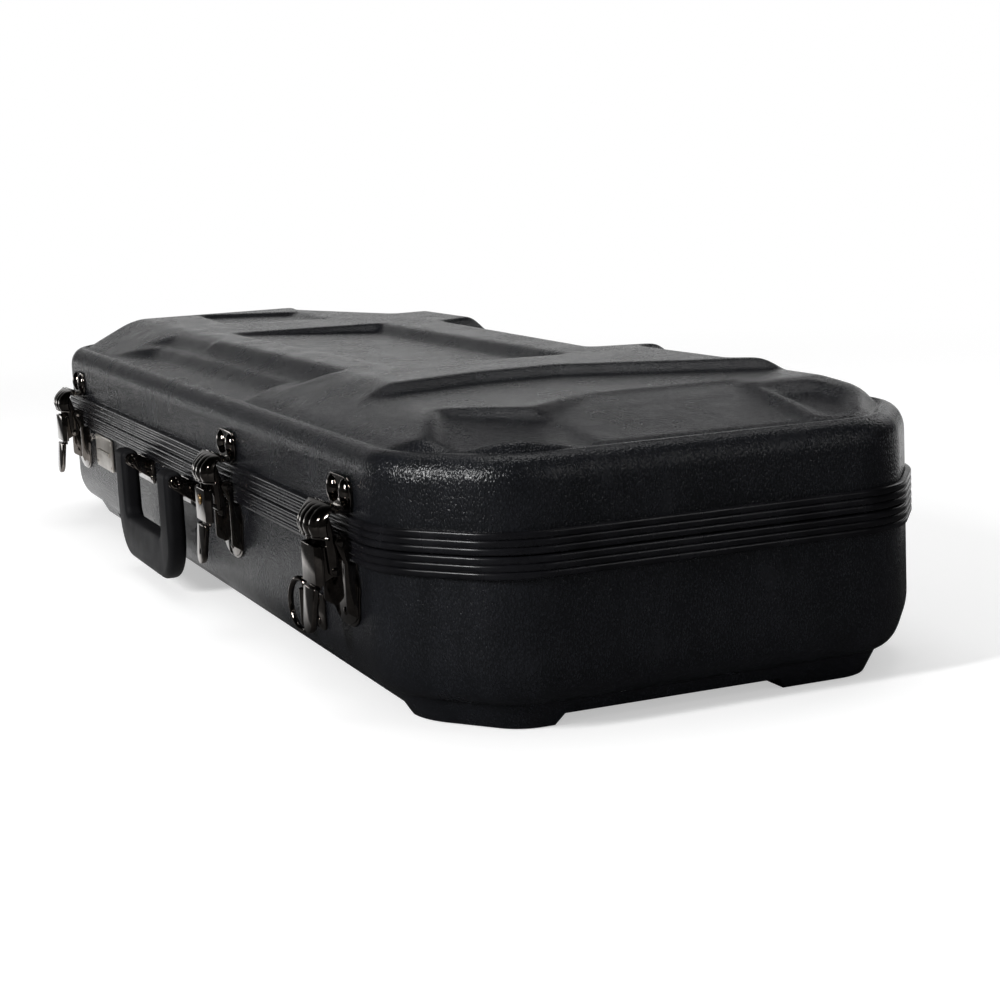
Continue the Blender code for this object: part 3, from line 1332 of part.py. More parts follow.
def make_bow_clips(surfaces, root):
    """Two turn toggles, each on a headed post under the lining."""
    toggle_top = LINING_BOTTOM - GAP - CLIP_DISC - GAP
    head_top = toggle_top - TOGGLE_THICKNESS - GAP
    drop = LINING_BOTTOM - GAP - head_top
    for index, y in enumerate((-BOW_SPREAD, BOW_SPREAD), 1):
        top = Vector((BOW_CLIP_PLACE, y, PARTING_HEIGHT + LINING_BOTTOM - GAP))
        profile = [
            (CLIP_DISC_RADIUS, 0),
            (CLIP_DISC_RADIUS, CLIP_DISC),
            (CLIP_SHAFT_RADIUS, CLIP_DISC),
            (CLIP_SHAFT_RADIUS, drop),
            (CLIP_HEAD_RADIUS, drop),
            (CLIP_HEAD_RADIUS, drop + CLIP_HEAD),
        ]
        bm = bmesh.new()
        turned(bm, top, (0, 0, -1), profile, ROUND_SIDES)
        finish(f"bow_clip_post_{index}", bm, surfaces["handle"], HINGE_AXIS, root)

        outline = rounded_rectangle(
            -TOGGLE_WIDTH / 2, TOGGLE_WIDTH / 2, -TOGGLE_LENGTH / 2, TOGGLE_LENGTH / 2,
            TOGGLE_WIDTH / 2 - GAP, ARC_STEPS,
        )
        low = PARTING_HEIGHT + toggle_top - TOGGLE_THICKNESS
        bm = bmesh.new()
        points = [(BOW_CLIP_PLACE + across, y + along, low) for across, along in outline]
        prism(bm, points, (0, 0, TOGGLE_THICKNESS))
        toggle = finish(
            f"bow_clip_toggle_{index}", bm, surfaces["handle"], (BOW_CLIP_PLACE, y, low), root
        )
        bm = bmesh.new()
        start = Vector((BOW_CLIP_PLACE, y, low - OVERRUN))
        end = Vector((BOW_CLIP_PLACE, y, low + TOGGLE_THICKNESS + OVERRUN))
        bar(bm, start, end, CLIP_SHAFT_RADIUS + GAP, ROUND_SIDES)
        combine(toggle, "DIFFERENCE", "bore", bm, root)


def build():
    """Makes the whole case under one empty that centres it over the origin."""
    clear_scene()
    surfaces = make_materials()
    root = bpy.data.objects.new("case_frame", None)
    root.location = (0, FRAME_SHIFT, 0)
    bpy.context.collection.objects.link(root)

    make_base_shell(surfaces, root)
    make_valances(surfaces, root)
    make_lid_shell(surfaces, root)
    make_hinges(surfaces, root)
    for side, x in LATCH_PLACES.items():
        make_latch_base(side, x, surfaces, root)
        make_lever(side, x, surfaces, root)
        make_hook(side, x, surfaces, root)
        make_latch_pins(side, x, surfaces, root)
        make_keeper(side, x, surfaces, root)
    make_lock(surfaces, root)
    make_handle(surfaces, root)
    make_handle_brackets(surfaces, root)
    make_strap_ring(surfaces, root)
    make_nameplate(surfaces, root)
    make_insert(surfaces, root)
    make_ribbons(surfaces, root)
    make_lining(surfaces, root)
    make_bow_clips(surfaces, root)


build()
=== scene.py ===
"""A hard violin case: grained black shells, fluted valances, draw latches and a drop handle.

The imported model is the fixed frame. Each class below makes one sub-assembly of the case in the
model's own coordinates, in metres: the latches face -Y, the hinges +Y, and the floor is Z = 0.
"""

import logging
from collections.abc import Callable, Sequence
from dataclasses import dataclass
from enum import StrEnum
from functools import partial
from math import atan2, cos, hypot, pi, radians, sin, sqrt, tan

import bmesh
import bpy
import numpy as np
from mathutils import Matrix, Vector


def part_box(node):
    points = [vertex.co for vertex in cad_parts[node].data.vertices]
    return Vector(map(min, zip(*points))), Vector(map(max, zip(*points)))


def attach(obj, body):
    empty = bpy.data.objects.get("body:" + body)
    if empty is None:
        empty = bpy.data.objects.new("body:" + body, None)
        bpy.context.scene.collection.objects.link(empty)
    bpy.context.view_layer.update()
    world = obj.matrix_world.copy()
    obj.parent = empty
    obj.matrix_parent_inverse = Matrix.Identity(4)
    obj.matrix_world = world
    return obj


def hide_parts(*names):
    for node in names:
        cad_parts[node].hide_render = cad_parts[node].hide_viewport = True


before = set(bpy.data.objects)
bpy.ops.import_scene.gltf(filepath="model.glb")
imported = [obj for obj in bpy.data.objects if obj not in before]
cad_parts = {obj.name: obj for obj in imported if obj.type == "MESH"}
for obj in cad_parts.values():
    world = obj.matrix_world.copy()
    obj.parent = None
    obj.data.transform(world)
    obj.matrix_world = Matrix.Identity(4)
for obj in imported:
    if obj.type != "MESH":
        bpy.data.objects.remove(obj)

log = logging.getLogger("violin_case")
Outline = list[tuple[float, float]]
Add = Callable[..., bpy.types.Node]
ALONG, OUT, UP = Vector((1, 0, 0)), Vector((0, -1, 0)), Vector((0, 0, 1))


class Body(StrEnum):
    """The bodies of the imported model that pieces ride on."""

    BASE = "base"
    LID = "lid"
    LOCK = "lock"
    HANDLE = "handle"
    RING = "strap_ring"


class Side(StrEnum):
    """The three latches, by their place along the front."""

    LEFT = "left"
    CENTRE = "centre"
    RIGHT = "right"


# Colour, nodes and finishes


def colour(code: str) -> tuple[float, float, float, float]:
    """Turns an sRGB hex colour into the linear colour that a shader takes.

    Args:
        code: Six hex digits, red, green and blue.

    Returns:
        Linear red, green, blue and an alpha of 1.
    """
    parts = [int(code[start:start + 2], 16) / 255 for start in (0, 2, 4)]
    red, green, blue = (
        part / 12.92 if part <= 0.04045 else ((part + 0.055) / 1.055) ** 2.4 for part in parts
    )
    return red, green, blue, 1.0


def per_mm(size: float) -> float:
    """The scale of a pattern in metres whose features measure a size in millimetres."""
    return 1000 / size


def add_node(
    tree: bpy.types.NodeTree, kind: str, settings: dict | None = None, links: dict | None = None
) -> bpy.types.Node:
    """Adds a node with its settings and links.

    Args:
        tree: The material's or world's node tree.
        kind: The node's type, without the ShaderNode that each begins with.
        settings: Values by input name, input index or property; "stops" are a ramp's stops.
        links: Output sockets, or nodes for their first output, by the input that they feed.

    Returns:
        The new node.
    """
    node = tree.nodes.new("ShaderNode" + kind)
    for key, value in (settings or {}).items():
        if key == "stops":
            elements = node.color_ramp.elements
            while len(elements) < len(value):
                elements.new(1)
            for element, (position, shade) in zip(elements, value):
                element.position, element.color = position, shade
        elif isinstance(key, int) or key in node.inputs:
            node.inputs[key].default_value = value
        else:
            setattr(node, key, value)
    for key, source in (links or {}).items():
        socket = source.outputs[0] if isinstance(source, bpy.types.Node) else source
        tree.links.new(socket, node.inputs[key])
    return node


def adder(owner: bpy.types.Material | bpy.types.World) -> Add:
    """Empties the node tree of a material or world and returns the call that adds to it."""
    owner.use_nodes = True
    owner.node_tree.nodes.clear()
    return partial(add_node, owner.node_tree)


def grey(level: float) -> tuple[float, float, float, float]:
    """A linear grey."""
    return level, level, level, 1.0


@dataclass(frozen=True)
class Finish:
    """What all finishes share: a name, a slot and a material that is made once."""

    name: str
    slot: str

    def material(self) -> bpy.types.Material:
        """The finish's material, made at the first call."""
        made = bpy.data.materials.get(self.name)
        if made is None:
            made = bpy.data.materials.new(self.name)
            add = adder(made)
            add("OutputMaterial", links={"Surface": self.surface(add)})
        return made

    def surface(self, add: Add) -> bpy.types.Node:
        """Builds the nodes and returns the surface shader."""
        raise NotImplementedError

    @staticmethod
    def place(add: Add, scale: tuple[float, float, float] = (1, 1, 1)) -> bpy.types.Node:
        """Object coordinates, stretched by a scale for each axis."""
        where = add("TexCoord").outputs["Object"]
        return add("Mapping", {"Scale": scale}, {"Vector": where})


@dataclass(frozen=True)
class GrainedAbs(Finish):
    """Black ABS sheet, vacuum formed over a tool, with a pebbled haircell grain.

    The grain breaks highlights into fine sparkle, and a flat view of it turns pale grey.
    """

    name: str = "vacuum_formed_abs"
    slot: str = "shell"
    grain_mm: float = 0.9
    pore_mm: float = 0.45
    ripple_mm: float = 70.0
    patch_mm: float = 26.0

    def surface(self, add: Add) -> bpy.types.Node:
        """Nodes: two sizes of grain, slow ripples of the formed sheet, rubbed patches and painted light on
        the grain's crowns.
        """
        where = self.place(add, (1, 1, 0.6))
        bend = add("TexNoise", {"Scale": per_mm(self.grain_mm * 1.6), "Detail": 1.0}, {"Vector": where})
        wander = add(
            "VectorMath", {"operation": "SCALE", "Scale": self.grain_mm / 1000}, {0: bend.outputs["Color"]}
        )
        swept = add("VectorMath", {"operation": "ADD"}, {0: where, 1: wander})
        # The real haircell grain is about 0.5 mm; it is drawn coarser so that it shows
        pebbles = add(
            "TexVoronoi", {"Scale": per_mm(self.grain_mm), "feature": "SMOOTH_F1", "Smoothness": 0.6},
            {"Vector": swept},
        )
        pores = add(
            "TexNoise", {"Scale": per_mm(self.pore_mm), "Detail": 2.0, "Roughness": 0.6}, {"Vector": where}
        )
        ripples = add("TexNoise", {"Scale": per_mm(self.ripple_mm), "Detail": 1.0}, {"Vector": where})
        rubbed = add(
            "TexNoise", {"Scale": per_mm(self.patch_mm), "Detail": 6.0, "Roughness": 0.62}, {"Vector": where}
        )
        slow = add("Bump", {"Strength": 0.4, "Distance": 0.0010}, {"Height": ripples})
        coarse = add(
            "Bump", {"Strength": 1.0, "Distance": 0.0003, "invert": True},
            {"Height": pebbles, "Normal": slow},
        )
        fine = add("Bump", {"Strength": 0.7, "Distance": 0.00010}, {"Height": pores, "Normal": coarse})
        shade = add(
            "ValToRGB",
            {"stops": [(0.30, colour("0e0f11")), (0.62, colour("141518")), (0.82, colour("1b1c20"))]},
            {"Fac": rubbed},
        )
        # The grain's crowns are painted lighter than the hollows between them: painted light on the crowns,
        # painted shade in the hollows.
        painted_crown_light = add(
            "MapRange", {"From Min": 0.10, "From Max": 0.50, "To Min": 1.0, "To Max": 0.0},
            {"Value": pebbles},
        )
        tint = add(
            "Mix", {"data_type": "RGBA", "blend_type": "ADD", 7: colour("0e0f12")}, {0: painted_crown_light, 6: shade}
        )
        gloss = add(
            "MapRange", {"From Min": 0.3, "From Max": 0.75, "To Min": 0.22, "To Max": 0.30},
            {"Value": rubbed},
        )
        return add(
            "BsdfPrincipled", {"IOR": 1.54, "Specular IOR Level": 0.24},
            {"Base Color": tint.outputs[2], "Roughness": gloss, "Normal": fine},
        )


@dataclass(frozen=True)
class DyedAluminium(Finish):
    """Extruded aluminium, anodised and dyed black: a satin black with faint drawn lines."""

    name: str = "black_anodised_aluminium"
    slot: str = "valance"
    line_mm: float = 0.45
    patch_mm: float = 18.0

    def surface(self, add: Add) -> bpy.types.Node:
        """Nodes: lines along the extrusion, which vary with height alone, and slight handling."""
        lines = add(
            "TexNoise", {"Scale": per_mm(self.line_mm), "Detail": 2.0},
            {"Vector": self.place(add, (0.01, 0.01, 1))},
        )
        handled = add(
            "TexNoise", {"Scale": per_mm(self.patch_mm), "Detail": 5.0}, {"Vector": self.place(add)}
        )
        drawn = add("Bump", {"Strength": 0.08, "Distance": 0.00002}, {"Height": lines})
        gloss = add(
            "MapRange", {"From Min": 0.3, "From Max": 0.7, "To Min": 0.20, "To Max": 0.30},
            {"Value": handled},
        )
        tint = add(
            "ValToRGB", {"stops": [(0.35, colour("0d0d0f")), (0.75, colour("17171a"))]}, {"Fac": handled}
        )
        return add(
            "BsdfPrincipled", {"Metallic": 0.1, "Specular IOR Level": 0.22},
            {"Base Color": tint, "Roughness": gloss, "Normal": drawn},
        )


@dataclass(frozen=True)
class BlackNickel(Finish):
    """Pressed steel plated in black nickel: a dark mirror with a warm grey tint."""

    name: str = "black_nickel_plate"
    slot: str = "hardware"
    patch_mm: float = 7.0
    press_mm: float = 3.2

    def surface(self, add: Add) -> bpy.types.Node:
        """Nodes: plating that thins in patches, light wear and a faint press ripple."""
        where = self.place(add)
        patches = add(
            "TexNoise", {"Scale": per_mm(self.patch_mm), "Detail": 5.0, "Roughness": 0.6}, {"Vector": where}
        )
        press = add("TexNoise", {"Scale": per_mm(self.press_mm), "Detail": 2.0}, {"Vector": where})
        ripple = add("Bump", {"Strength": 0.25, "Distance": 0.00008}, {"Height": press})
        tint = add(
            "ValToRGB",
            {"stops": [(0.30, colour("5e5955")), (0.55, colour("78726d")), (0.80, colour("989189"))]},
            {"Fac": patches},
        )
        gloss = add(
            "MapRange", {"From Min": 0.3, "From Max": 0.75, "To Min": 0.04, "To Max": 0.11},
            {"Value": patches},
        )
        return add(
            "BsdfPrincipled", {"Metallic": 1.0}, {"Base Color": tint, "Roughness": gloss, "Normal": ripple}
        )


@dataclass(frozen=True)
class TurnedBrass(Finish):
    """A turned brass cylinder, slightly dulled, with fine tool rings."""

    name: str = "turned_brass"
    slot: str = "brass"
    spot_mm: float = 1.6
    line_mm: float = 0.3

    def surface(self, add: Add) -> bpy.types.Node:
        """Nodes: tarnish in small spots and fine lines."""
        where = self.place(add)
        tarnish = add("TexNoise", {"Scale": per_mm(self.spot_mm), "Detail": 4.0}, {"Vector": where})
        lines = add("TexNoise", {"Scale": per_mm(self.line_mm)}, {"Vector": self.place(add, (1, 0.05, 1))})
        rings = add("Bump", {"Strength": 0.4, "Distance": 0.00004}, {"Height": lines})
        tint = add(
            "ValToRGB", {"stops": [(0.3, colour("a9814a")), (0.7, colour("d2ac6c"))]}, {"Fac": tarnish}
        )
        return add(
            "BsdfPrincipled", {"Metallic": 1.0, "Roughness": 0.26}, {"Base Color": tint, "Normal": rings}
        )


@dataclass(frozen=True)
class MattMoulding(Finish):
    """Injection-moulded black plastic with a spark-eroded matt skin, rubbed where it is held."""

    name: str = "matt_moulded_plastic"
    slot: str = "handle"
    skin_mm: float = 0.6
    patch_mm: float = 22.0

    def surface(self, add: Add) -> bpy.types.Node:
        """Nodes: a fine skin and broad rubbed patches with more gloss."""
        where = self.place(add)
        skin = add("TexNoise", {"Scale": per_mm(self.skin_mm), "Detail": 3.0}, {"Vector": where})
        rubbed = add("TexNoise", {"Scale": per_mm(self.patch_mm), "Detail": 4.0}, {"Vector": where})
        matt = add("Bump", {"Strength": 0.35, "Distance": 0.00010}, {"Height": skin})
        gloss = add(
            "MapRange", {"From Min": 0.3, "From Max": 0.7, "To Min": 0.50, "To Max": 0.62},
            {"Value": rubbed},
        )
        tint = add(
            "ValToRGB", {"stops": [(0.35, colour("0e0e10")), (0.75, colour("151517"))]}, {"Fac": rubbed}
        )
        return add(
            "BsdfPrincipled", {"IOR": 1.5, "Specular IOR Level": 0.10},
            {"Base Color": tint, "Roughness": gloss, "Normal": matt},
        )


@dataclass(frozen=True)
class BrushedPlate(Finish):
    """A thin aluminium plate, brushed lengthways: a pale satin grey with long lines."""

    name: str = "brushed_nameplate"
    slot: str = "plate"
    line_mm: float = 0.35
    patch_mm: float = 9.0

    def surface(self, add: Add) -> bpy.types.Node:
        """Nodes: long brush lines in roughness and height, and a little dulling."""
        lines = add(
            "TexNoise", {"Scale": per_mm(self.line_mm), "Detail": 3.0},
            {"Vector": self.place(add, (0.03, 1, 1))},
        )
        dull = add("TexNoise", {"Scale": per_mm(self.patch_mm), "Detail": 4.0}, {"Vector": self.place(add)})
        brushed = add("Bump", {"Strength": 0.4, "Distance": 0.00006}, {"Height": lines})
        tint = add(
            "ValToRGB", {"stops": [(0.3, colour("a09a93")), (0.75, colour("bfbab2"))]}, {"Fac": dull}
        )
        gloss = add("MapRange", {"To Min": 0.26, "To Max": 0.46}, {"Value": lines})
        return add(
            "BsdfPrincipled", {"Metallic": 0.9}, {"Base Color": tint, "Roughness": gloss, "Normal": brushed}
        )


@dataclass(frozen=True)
class CutPlush(Finish):
    """Cut-pile plush on foam: deep and dark, with a pale bloom painted in patches where the pile leans:
    painted sheen.
    """

    name: str = "cut_pile_plush"
    slot: str = "plush"
    tuft_mm: float = 1.4
    fibre_mm: float = 0.9
    sheen_patch_mm: float = 22.0

    def surface(self, add: Add) -> bpy.types.Node:
        """Nodes: tufts, painted sheen in patches where the pile leans, and the shader's sheen."""
        where = self.place(add)
        tufts = add("TexVoronoi", {"Scale": per_mm(self.tuft_mm)}, {"Vector": where})
        lean = add(
            "TexNoise", {"Scale": per_mm(self.sheen_patch_mm), "Detail": 6.0, "Roughness": 0.6}, {"Vector": where}
        )
        fibres = add("TexNoise", {"Scale": per_mm(self.fibre_mm), "Detail": 2.0}, {"Vector": where})
        nap = add("Bump", {"Strength": 0.8, "Distance": 0.0005}, {"Height": tufts})
        pile = add("Bump", {"Strength": 0.6, "Distance": 0.0004}, {"Height": fibres, "Normal": nap})
        # Lighter colour in patches where the pile leans: painted sheen, besides the shader's own sheen.
        tint = add(
            "ValToRGB",
            {"stops": [(0.30, colour("25272e")), (0.52, colour("2b2d36")), (0.74, colour("32353f"))]},
            {"Fac": lean},
        )
        return add(
            "BsdfPrincipled",
            {
                "Roughness": 0.92, "Sheen Weight": 0.35, "Sheen Roughness": 0.45,
                "Sheen Tint": colour("6c7184"), "Specular IOR Level": 0.2,
            },
            {"Base Color": tint, "Normal": pile},
        )


@dataclass(frozen=True)
class Grosgrain(Finish):
    """Woven ribbon with ribs across its length: black, dull, with a line of light on each rib."""

    name: str = "grosgrain_ribbon"
    slot: str = "ribbon"
    rib_mm: float = 1.1
    thread_mm: float = 0.8

    def surface(self, add: Add) -> bpy.types.Node:
        """Nodes: ribs from the piece's own map, whose U runs along the ribbon in metres."""
        chart = add("UVMap", {"uv_map": "ribbon"})
        # Real ribs are about 0.6 mm apart; they are drawn nearly twice as far so that they show
        ribs = add(
            "TexWave", {"Scale": per_mm(self.rib_mm) / pi, "Distortion": 0.4, "bands_direction": "X"},
            {"Vector": chart},
        )
        threads = add("TexNoise", {"Scale": per_mm(self.thread_mm), "Detail": 2.0}, {"Vector": chart})
        ribbed = add("Bump", {"Strength": 0.7, "Distance": 0.00025}, {"Height": ribs.outputs["Fac"]})
        woven = add("Bump", {"Strength": 0.4, "Distance": 0.00012}, {"Height": threads, "Normal": ribbed})
        # Each rib is painted lighter and the furrows between are darker: a painted line of light on each rib
        # and painted shade between.
        tint = add(
            "ValToRGB", {"stops": [(0.2, colour("121214")), (0.8, colour("25252a"))]},
            {"Fac": ribs.outputs["Fac"]},
        )
        return add(
            "BsdfPrincipled", {"Roughness": 0.72, "Sheen Weight": 0.15, "Sheen Roughness": 0.4},
            {"Base Color": tint, "Normal": woven},
        )


SHELL = GrainedAbs()
VALANCE = DyedAluminium()
NICKEL = BlackNickel()
BRASS = TurnedBrass()
MOULDING = MattMoulding()
PLATE = BrushedPlate()
PLUSH = CutPlush()
RIBBON = Grosgrain()


# Forms


def soften(bm: bmesh.types.BMesh, width: float, segments: int, angle: float = radians(30)) -> None:
    """Rounds every edge that is sharper than an angle.

    Args:
        bm: A closed form.
        width: How far the rounding reaches along each face.
        segments: Steps of the rounding.
        angle: The least angle between two faces that is rounded.
    """
    edges = [edge for edge in bm.edges if edge.is_manifold and edge.calc_face_angle() > angle]
    bmesh.ops.bevel(
        bm, geom=edges, offset=width, offset_type="OFFSET", segments=segments, profile=0.5,
        affect="EDGES", clamp_overlap=True, material=-1,
    )


def arc(centre: tuple[float, float], radius: float, start: float, turn: float, steps: int) -> Outline:
    """Points of a plane arc, from the start angle through the turn."""
    angles = [start + turn * step / steps for step in range(steps + 1)]
    return [(centre[0] + radius * cos(a), centre[1] + radius * sin(a)) for a in angles]


def rounded(points: Outline, radii: Sequence[float], steps: int = 6) -> Outline:
    """Replaces each corner of an anticlockwise outline by an arc.

    Args:
        points: The outline's corners.
        radii: One radius for each corner.
        steps: Steps of each arc.

    Returns:
        The outline with round corners.
    """
    made: Outline = []
    for index, (point, radius) in enumerate(zip(points, radii)):
        here = Vector(point)
        back = (Vector(points[index - 1]) - here).normalized()
        ahead = (Vector(points[(index + 1) % len(points)]) - here).normalized()
        half = back.angle(ahead) / 2
        centre = here + (back + ahead).normalized() * radius / sin(half)
        foot = here + back * radius / tan(half) - centre
        turn = pi - 2 * half
        if back.x * ahead.y > back.y * ahead.x:
            turn = -turn
        made += arc((centre.x, centre.y), radius, atan2(foot.y, foot.x), turn, steps)
    return made


def rectangle(left: float, right: float, low: float, high: float, radius: float = 0) -> Outline:
    """An anticlockwise rectangle, with round corners where a radius is given."""
    corners = [(left, low), (right, low), (right, high), (left, high)]
    return rounded(corners, [radius] * 4) if radius else corners


def points_of(made: list) -> list[bmesh.types.BMVert]:
    """The points among what an operator made."""
    return [item for item in made if isinstance(item, bmesh.types.BMVert)]


class Form:
    """A piece's mesh under construction, gathered from closed parts."""

    def __init__(self) -> None:
        """Starts empty."""
        self.bm = bmesh.new()

    def take(self, part: bmesh.types.BMesh, edge: float = 0, segments: int = 2) -> "Form":
        """Adds a part with its faces turned out and its edges softened.

        Args:
            part: A closed part, freed here.
            edge: How far its sharp edges are rounded.
            segments: Steps of the rounding.

        Returns:
            This form.
        """
        bmesh.ops.remove_doubles(part, verts=part.verts, dist=1e-6)
        bmesh.ops.recalc_face_normals(part, faces=part.faces)
        if edge:
            soften(part, edge, segments)
        mesh = bpy.data.meshes.new("part")
        part.to_mesh(mesh)
        part.free()
        self.bm.from_mesh(mesh)
        bpy.data.meshes.remove(mesh)
        return self

    def slab(self, outline: Sequence[Vector], depth: Vector, edge: float = 0, segments: int = 2) -> "Form":
        """Adds a flat outline extruded by a vector, with softened edges."""
        part = bmesh.new()
        face = part.faces.new([part.verts.new(point) for point in outline])
        grown = bmesh.ops.extrude_face_region(part, geom=[face])["geom"]
        bmesh.ops.translate(part, verts=points_of(grown), vec=depth)
        return self.take(part, edge, segments)

    def turned(self, centre: Vector, axis: Vector, profile: Outline, steps: int = 24) -> "Form":
        """Adds a profile of (radius, distance along the axis), spun once round the axis."""
        part = bmesh.new()
        axis = Vector(axis).normalized()
        across = axis.orthogonal().normalized()
        verts = [part.verts.new(centre + axis * along + across * radius) for radius, along in profile]
        edges = [part.edges.new(pair) for pair in zip(verts, verts[1:])]
        bmesh.ops.spin(
            part, geom=verts + edges, cent=centre, axis=axis, angle=2 * pi, steps=steps, use_merge=True
        )
        return self.take(part)

    def rivet(self, centre: Vector, axis: Vector, radius: float, height: float) -> "Form":
        """Adds a domed rivet head that stands on a face."""
        dome = [(radius * cos(turn), height * sin(turn)) for turn in np.linspace(0, pi / 2, 6)]
        return self.turned(centre, axis, [(0, -height / 4), (radius, -height / 4), *dome], 16)

    def tube(self, path: Sequence[Vector], radius: float, sides: int = 12, closed: bool = False) -> "Form":
        """Adds a round tube along a path, with closed ends unless the path is."""
        part = bmesh.new()
        count = len(path)
        rings = []
        for index, point in enumerate(path):
            after = path[(index + 1) % count] if closed else path[min(index + 1, count - 1)]
            before = path[index - 1] if closed else path[max(index - 1, 0)]
            turn = (after - before).to_track_quat("Z", "Y").to_matrix().to_4x4()
            made = bmesh.ops.create_circle(
                part, cap_ends=False, segments=sides, radius=radius, matrix=Matrix.Translation(point) @ turn
            )
            rings.append(list({edge for vert in made["verts"] for edge in vert.link_edges}))
        for lower, upper in zip(rings, rings[1:] + rings[:int(closed)]):
            bmesh.ops.bridge_loops(part, edges=lower + upper)
        if not closed:
            bmesh.ops.holes_fill(part, edges=part.edges, sides=0)
        return self.take(part)

    def plate(
        self, outline: Outline, x: float, reach: float, thick: float, edge: float, segments: int = 2
    ) -> "Form":
        """Adds a plate along the front, an outline of (across, rise) that grows outwards."""
        points = [PLAN.front(x + across, reach, rise) for across, rise in outline]
        return self.slab(points, OUT * thick, edge, segments)

    def cheek(self, outline: Outline, x: float, thick: float, edge: float, segments: int = 2) -> "Form":
        """Adds a plate that stands out from the front, an outline of (reach, rise)."""
        points = [PLAN.front(x, reach, rise) for reach, rise in outline]
        return self.slab(points, ALONG * thick, edge, segments)

    def band(self, rings: Sequence[Sequence[Vector]], closed: bool = False) -> "Form":
        """Adds a skin over rings of equal count, either closed on itself or with two caps."""
        part = bmesh.new()
        loops = [[part.verts.new(point) for point in ring] for ring in rings]
        for lower, upper in zip(loops, loops[1:] + loops[:int(closed)]):
            for index in range(len(lower)):
                part.faces.new((lower[index - 1], lower[index], upper[index], upper[index - 1]))
        if not closed:
            part.faces.new(loops[0])
            part.faces.new(loops[-1])
        return self.take(part)

    def cut(self, tool: "Form") -> "Form":
        """Cuts another form away from this one."""
        whole, cutter = settle("whole", self.bm), settle("tool", tool.bm)
        modifier = whole.modifiers.new("cut", "BOOLEAN")
        modifier.operation, modifier.solver, modifier.object = "DIFFERENCE", "EXACT", cutter
        graph = bpy.context.evaluated_depsgraph_get()
        result = bpy.data.meshes.new_from_object(whole.evaluated_get(graph))
        self.bm = bmesh.new()
        self.bm.from_mesh(result)
        bpy.data.meshes.remove(result)
        for item in (whole, cutter):
            mesh = item.data
            bpy.data.objects.remove(item)
            bpy.data.meshes.remove(mesh)
        return self

    def finish(
        self, name: str, finish: Finish, body: str, node: str, sharp: float = radians(32)
    ) -> bpy.types.Object:
        """Makes the piece from the form, dresses it and lets it ride on its body.

        Args:
            name: The piece's name.
            finish: The finish it wears.
            body: The body it rides on.
            node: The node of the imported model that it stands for.
            sharp: The angle from which an edge stays sharp in the shading.

        Returns:
            The piece.
        """
        return dress(settle(name, self.bm), finish, body, node, sharp)


def linked(name: str, data: bpy.types.ID) -> bpy.types.Object:
    """Makes an object from its data and links it to the scene."""
    made = bpy.data.objects.new(name, data)
    bpy.context.scene.collection.objects.link(made)
    return made


def settle(name: str, bm: bmesh.types.BMesh) -> bpy.types.Object:
    """Makes a mesh object from a bmesh, which is freed."""
    mesh = bpy.data.meshes.new(name)
    bm.to_mesh(mesh)
    bm.free()
    return linked(name, mesh)


def dress(
    piece: bpy.types.Object, finish: Finish, body: str, node: str, sharp: float = radians(32)
) -> bpy.types.Object:
    """Gives a piece its shading, finish and body, and reports it."""
    mesh = piece.data
    mesh.shade_smooth()
    mesh.set_sharp_from_angle(angle=sharp)
    mesh.materials.clear()
    mesh.materials.append(finish.material())
    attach(piece, body)
    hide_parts(node)
    log.info("%s: %d faces, rides on %s", piece.name, len(mesh.polygons), body)
    return piece


# The case's plan


